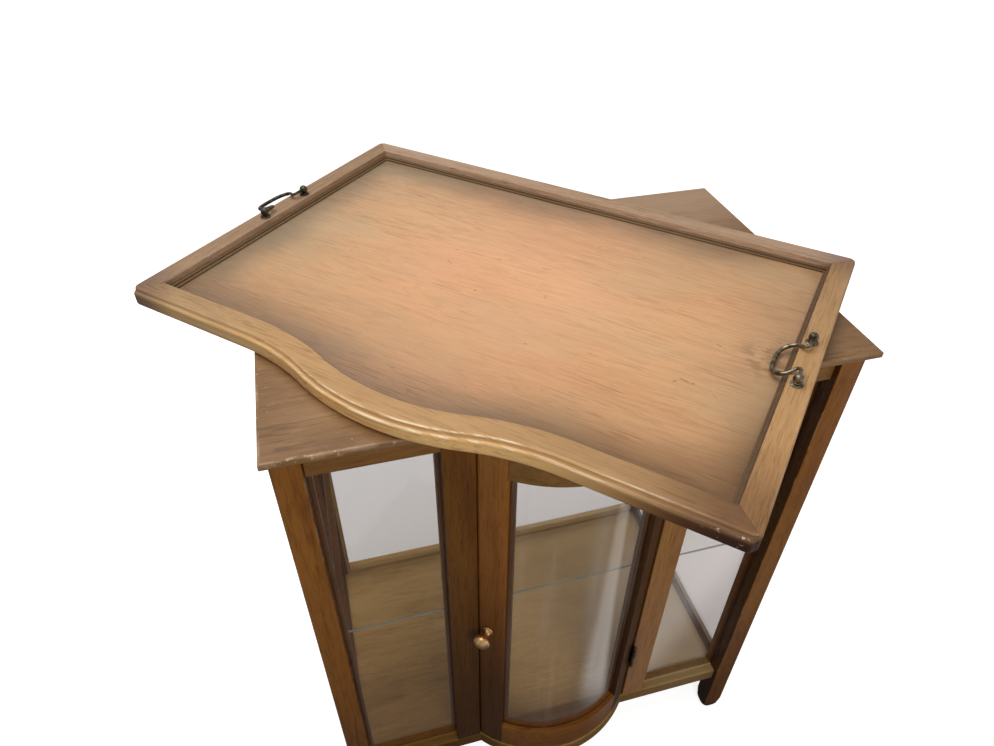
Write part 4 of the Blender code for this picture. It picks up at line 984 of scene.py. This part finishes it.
def rubbing(name, u):
    """How far hands have rubbed a rail at u: most of the front, little of the others."""
    if name == "front":
        return smoothstep(u, -0.345, -0.27) * (1.0 - smoothstep(u, 0.23, 0.34))
    return 0.10


def build_rim():
    offsets, heights, *rows = zip(*rim_profile())
    for seed, (name, tint) in enumerate(RIM_LIGHT_TINTS.items(), 30):
        wood = rim_wood(name, "u" if name in ("front", "back") else "v", seed, tint)
        stations = list(zip(*(rail_run(name, offset) for offset in offsets)))
        loops = [[(u, v, z) for (u, v), z in zip(station, heights)] for station in stations]
        wear, outer, groove = (row * len(stations) for row in rows)
        rubbed = [rubbing(name, station[0][0]) for station in stations for z in heights]
        add(f"tray_rail_{name}", stack(loops), TRAY, "tray", "rim_wood", wood,
            wear=wear, outer=outer, groove=groove, rubbed=rubbed)


def opening(inset):
    """The tray's inside in plan, drawn in by inset from the rim's inner faces."""
    half_u = TRAY_WIDTH / 2 - RIM_WIDE - inset
    half_v = TRAY_DEPTH / 2 - RIM_WIDE - inset
    right = [(half_u, v) for v in np.linspace(-half_v, half_v, 25)[1:-1]]
    back = [(u, half_v) for u in np.linspace(half_u, -half_u, 37)]
    return front_run(-RIM_WIDE - inset, half_u, 10, 18) + right + back + mirror(right)


def build_panel():
    """The veneered panel; each point carries its distance from the bead for the shaded border."""
    insets = [-PANEL_TONGUE + GAP, 0.0, TRAY_BEAD_WIDE / 2, TRAY_BEAD_WIDE]
    insets += [TRAY_BEAD_WIDE + 0.006 * i for i in range(1, 21)]
    levels = [(PANEL_TOP_Z - PANEL_THICK, insets[0])] + [(PANEL_TOP_Z, inset) for inset in insets]
    verts, faces = stack(layers(opening, levels)[0])
    half_u = TRAY_WIDTH / 2 - RIM_WIDE - TRAY_BEAD_WIDE
    half_v = TRAY_DEPTH / 2 - RIM_WIDE - TRAY_BEAD_WIDE
    front_line = np.array(front_run(-RIM_WIDE - TRAY_BEAD_WIDE, half_u, 60, 60))
    soft = 0.014
    edge = []
    for u, v, z in verts:
        front = np.sqrt(((front_line - (u, v)) ** 2).sum(1)).min()
        gaps = np.array([front, half_u - u, half_u + u, half_v - v]).clip(0.0)
        edge.append(float(-soft * np.log(np.exp(-gaps / soft).sum()) + soft * 0.2))
    add("tray_panel", (verts, faces), TRAY, "tray", "panel_wood", panel_wood(), edge=edge)


def build_tray_bead():
    """A stepped bead in the corner between the panel and the rim."""
    section = [(0.0003, 0.0, 0.0), (0.0003, 0.0050, 0.0), (0.0024, 0.0050, 0.3), (0.0030, 0.0046, 1.0),
               (0.0032, 0.0038, 0.2), (0.0032, 0.0024, 0.0), (0.0050, 0.0024, 0.2), (0.0057, 0.0020, 1.0),
               (TRAY_BEAD_WIDE, 0.0012, 0.2), (TRAY_BEAD_WIDE, 0.0, 0.0)]
    levels = [(PANEL_TOP_Z + GAP + rise, inset, value) for inset, rise, value in section]
    loops, wear = layers(opening, levels)
    add("tray_bead", stack(loops, ring=True), TRAY, "tray", "rim_wood", tray_bead_wood(), wear=wear)


def build_handle_posts():
    """Turned foot with a bead, short neck and ball."""
    ball = np.linspace(0.12, 0.80, 12) * math.pi
    profile = [(0.0, PIVOT_RISE + POST_BALL_R)]
    profile += [(POST_BALL_R * math.sin(a), PIVOT_RISE + POST_BALL_R * math.cos(a)) for a in ball]
    profile += [(0.0034, 0.0030), (0.0036, 0.0026), (0.0050, 0.0025), (0.0056, 0.0022), (0.0057, 0.0018),
                (0.0054, 0.0015), (0.0060, 0.0013), (0.0064, 0.0009), (0.0064, GAP)]
    shape = lathe(profile, 40)
    for side, sign in SIDES:
        for row, v_sign in (("front", -1), ("back", 1)):
            seat = TRAY @ Matrix.Translation((sign * POST_U, v_sign * POST_V, TRAY_HIGH))
            add(f"handle_post_{side}_{row}", shape, seat, "tray", "bronze", HANDLE_METAL[side], 40.0)


def build_bails():
    """Bent wire handles: the right one lies in over the tray, the left one out over the rim."""
    half = [(0.0352, 0.0), (0.0290, 0.0), (0.0222, 0.0004), (0.0195, 0.0045), (0.0230, 0.0092),
            (0.0262, 0.0150), (0.0250, 0.0230), (0.0195, 0.0290), (0.0100, 0.0318), (0.0, 0.0320)]
    path = [Vector(point) for point in smooth_run(half + mirror(half[:-1]), 6)]
    turns = [2 * math.pi * i / 16 for i in range(16)]
    across = Vector((0.0, 1.0, 0.0))
    for side, sign in SIDES:
        drop = BAIL_DROPS[side]
        lean = Vector((-math.cos(drop), 0.0, -math.sin(drop)))
        upright = lean.cross(across)
        middle = Vector((sign * POST_U, 0.0, PIVOT_Z))
        loops = []
        for i, (v, reach) in enumerate(path):
            ahead = path[min(i + 1, len(path) - 1)] - path[max(i - 1, 0)]
            ahead.normalize()
            outward = across * ahead.y - lean * ahead.x
            at = middle + across * v + lean * reach
            radius = BAIL_WIRE_R + GRIP_SWELL * smoothstep(reach, 0.011, 0.022)
            loops.append([at + radius * (outward * math.cos(a) + upright * math.sin(a)) for a in turns])
        add(f"bail_{side}", stack(loops), TRAY, f"bail_{side}", "bronze", HANDLE_METAL[side], 50.0)


build_legs()
build_top_board()
build_base()
build_bowed_rail()
build_door()
build_shelf()
build_knob()
build_rim()
build_panel()
build_tray_bead()
build_handle_posts()
build_bails()


# Materials of the CAD nodes that stay
def dress(names, material):
    for name in names:
        mesh = NODES[name].data
        mesh.materials.clear()
        mesh.materials.append(material)


for side, wood in POST_WOODS_BY_LIGHT.items():
    dress([f"post_{side}"], wood)
dress(["top_rail_front_left", "top_rail_front_right", "top_rail_back"], RAIL_WOOD)
dress(["top_rail_left", "top_rail_right", "shelf_cleat_left", "shelf_cleat_right"], SIDE_RAIL_WOOD)
dress([name for name in NODES if name.startswith("bead_")], GLAZING_BEAD_WOOD)
dress(["bead_back"], BACK_BEAD_WOOD)
dress([name for name in NODES if name.startswith("glass_")], PANE)
dress([name for name in NODES if name.startswith("hinge_")], BRASS)
dress(["catch_strike", "catch_ball", "knob_screw"], BRASS)

# How brightly the white floor and world show: to the camera, through the panes, and in mirror images
FLOOR_HALF = 14.0
FLOOR_SEEN_NEAR, FLOOR_SEEN_FAR = 0.76, 1.0
FLOOR_THROUGH = 0.525
FLOOR_MIRRORED_NEAR, FLOOR_MIRRORED_FAR = 0.04, 0.45
FLOOR_GREY, FLOOR_SEEN_GREY, FLOOR_MIRRORED_GREY = (0.36,) * 3, (0.75,) * 3, (0.08,) * 3
WORLD_THROUGH, WORLD_MIRRORED, WORLD_LIGHT = 0.53, 0.55, 0.12
WHITE = (1.0, 1.0, 1.0)

# A painted reflection: a bright strip of the floor in front of the cabinet that glows only in mirror images,
# which only the curved glass mirrors
STRIP_AHEAD = (0.856, -0.518, 0.0)
STRIP_ASIDE = (0.518, 0.856, 0.0)
STRIP_REFLECTION_GLOW = 0.60
# Painted reflection: the floor shows dim in mirror images near this spot, brighter further away
DIM_REFLECTION_SPOT = (0.25, -0.45, 0.0)


def build_floor():
    """A pale floor that takes the object's shadow and fades to white away from it. In mirror images it shows
    painted reflections: dim in front of the cabinet, brighter further off, with one bright strip.
    """
    look = Look("floor")
    look.tree.nodes.remove(look.shader)
    path, mirrored = look.light_path()
    seen = path["Is Camera Ray"]
    through = look.times(path["Is Transmission Ray"], look.inverse(mirrored))
    aside = look.dot(look.place(), STRIP_ASIDE)
    ahead = look.dot(look.place(), STRIP_AHEAD)
    # Painted reflection: a strip that glows only in mirror images
    reflection_strip = look.times(look.span(aside, -0.26, -0.18), look.span(aside, -0.06, -0.12))
    reflection_strip = look.times(reflection_strip, look.span(ahead, 0.27, 0.35))
    # Painted reflection: dim near the spot, brighter further off
    dim_reflection = look.span(look.distance(DIM_REFLECTION_SPOT), 0.70, 1.00, FLOOR_MIRRORED_NEAR, FLOOR_MIRRORED_FAR)
    image = look.math("ADD", look.times(reflection_strip, STRIP_REFLECTION_GLOW), dim_reflection)
    fade = look.span(look.distance((0.0, 0.0, 0.0)), 0.9, 2.2, FLOOR_SEEN_NEAR, FLOOR_SEEN_FAR)
    glow = look.most(look.times(through, FLOOR_THROUGH), look.times(mirrored, image), look.times(seen, fade))
    grey = look.mix(mirrored, look.mix(seen, FLOOR_GREY, FLOOR_SEEN_GREY), FLOOR_MIRRORED_GREY)
    white = look.node("ShaderNodeEmission", {"Color": WHITE, "Strength": glow}).outputs[0]
    both = look.node("ShaderNodeAddShader", {0: look.plain("Diffuse", grey), 1: white}).outputs[0]
    mesh = bpy.data.meshes.new("floor")
    mesh.from_pydata(rectangle(-FLOOR_HALF, -FLOOR_HALF, FLOOR_HALF, FLOOR_HALF, 0.0), [], [(0, 1, 2, 3)])
    mesh.materials.append(look.surface(both))
    floor = link("floor", mesh)


def build_world():
    """A world that is white to the camera, softer through panes and in mirror images, and lights little."""
    world = bpy.data.worlds.new("studio")
    SCENE.world = world
    world.use_nodes = True
    sky = Nodes(world.node_tree)
    path, mirrored = sky.light_path()
    image = sky.times(mirrored, WORLD_MIRRORED)
    through = sky.times(path["Is Transmission Ray"], WORLD_THROUGH)
    background = sky.tree.nodes["Background"]
    sky.put(background.inputs["Color"], WHITE)
    sky.put(background.inputs["Strength"], sky.most(path["Is Camera Ray"], image, through, WORLD_LIGHT))


def lamp(name, place, target, size, power, mirrored=True):
    """A soft rectangular lamp; mirrored says whether varnish and glass show its image."""
    data = bpy.data.lights.new(name, "AREA")
    data.shape = "RECTANGLE"
    data.size, data.size_y = size
    data.energy = power
    obj = link(name, data)
    obj.location = place
    obj.rotation_euler = (Vector(target) - Vector(place)).to_track_quat("-Z", "Y").to_euler()
    obj.visible_camera = False
    obj.visible_transmission = False
    obj.visible_glossy = mirrored


def build_camera():
    """The photograph's camera, fitted to the edges of the cabinet and the tray."""
    data = bpy.data.cameras.new("camera")
    data.sensor_fit = "HORIZONTAL"
    data.sensor_width = 36.0
    data.lens = 26.241
    data.clip_start = 0.01
    obj = link("camera", data)
    obj.location = (-0.20448, -0.69719, 1.29955)
    obj.rotation_euler = (0.873047, -0.008504, -0.263984)
    SCENE.camera = obj


build_floor()
build_world()
lamp("key", (-0.35, 0.10, 2.25), (0.0, 0.0, 0.84), (1.7, 1.5), 25.6)
lamp("front", (0.03, -1.15, 1.15), (0.03, -0.2, 0.70), (0.7, 0.5), 6.0, mirrored=False)
lamp("right", (1.00, -1.00, 0.70), (0.20, -0.2, 0.40), (0.8, 0.6), 1.4)
lamp("back", (0.05, 1.50, 0.60), (0.05, 0.0, 0.20), (1.6, 0.6), 14.0, mirrored=False)
build_camera()
SCENE.view_settings.view_transform = "Standard"
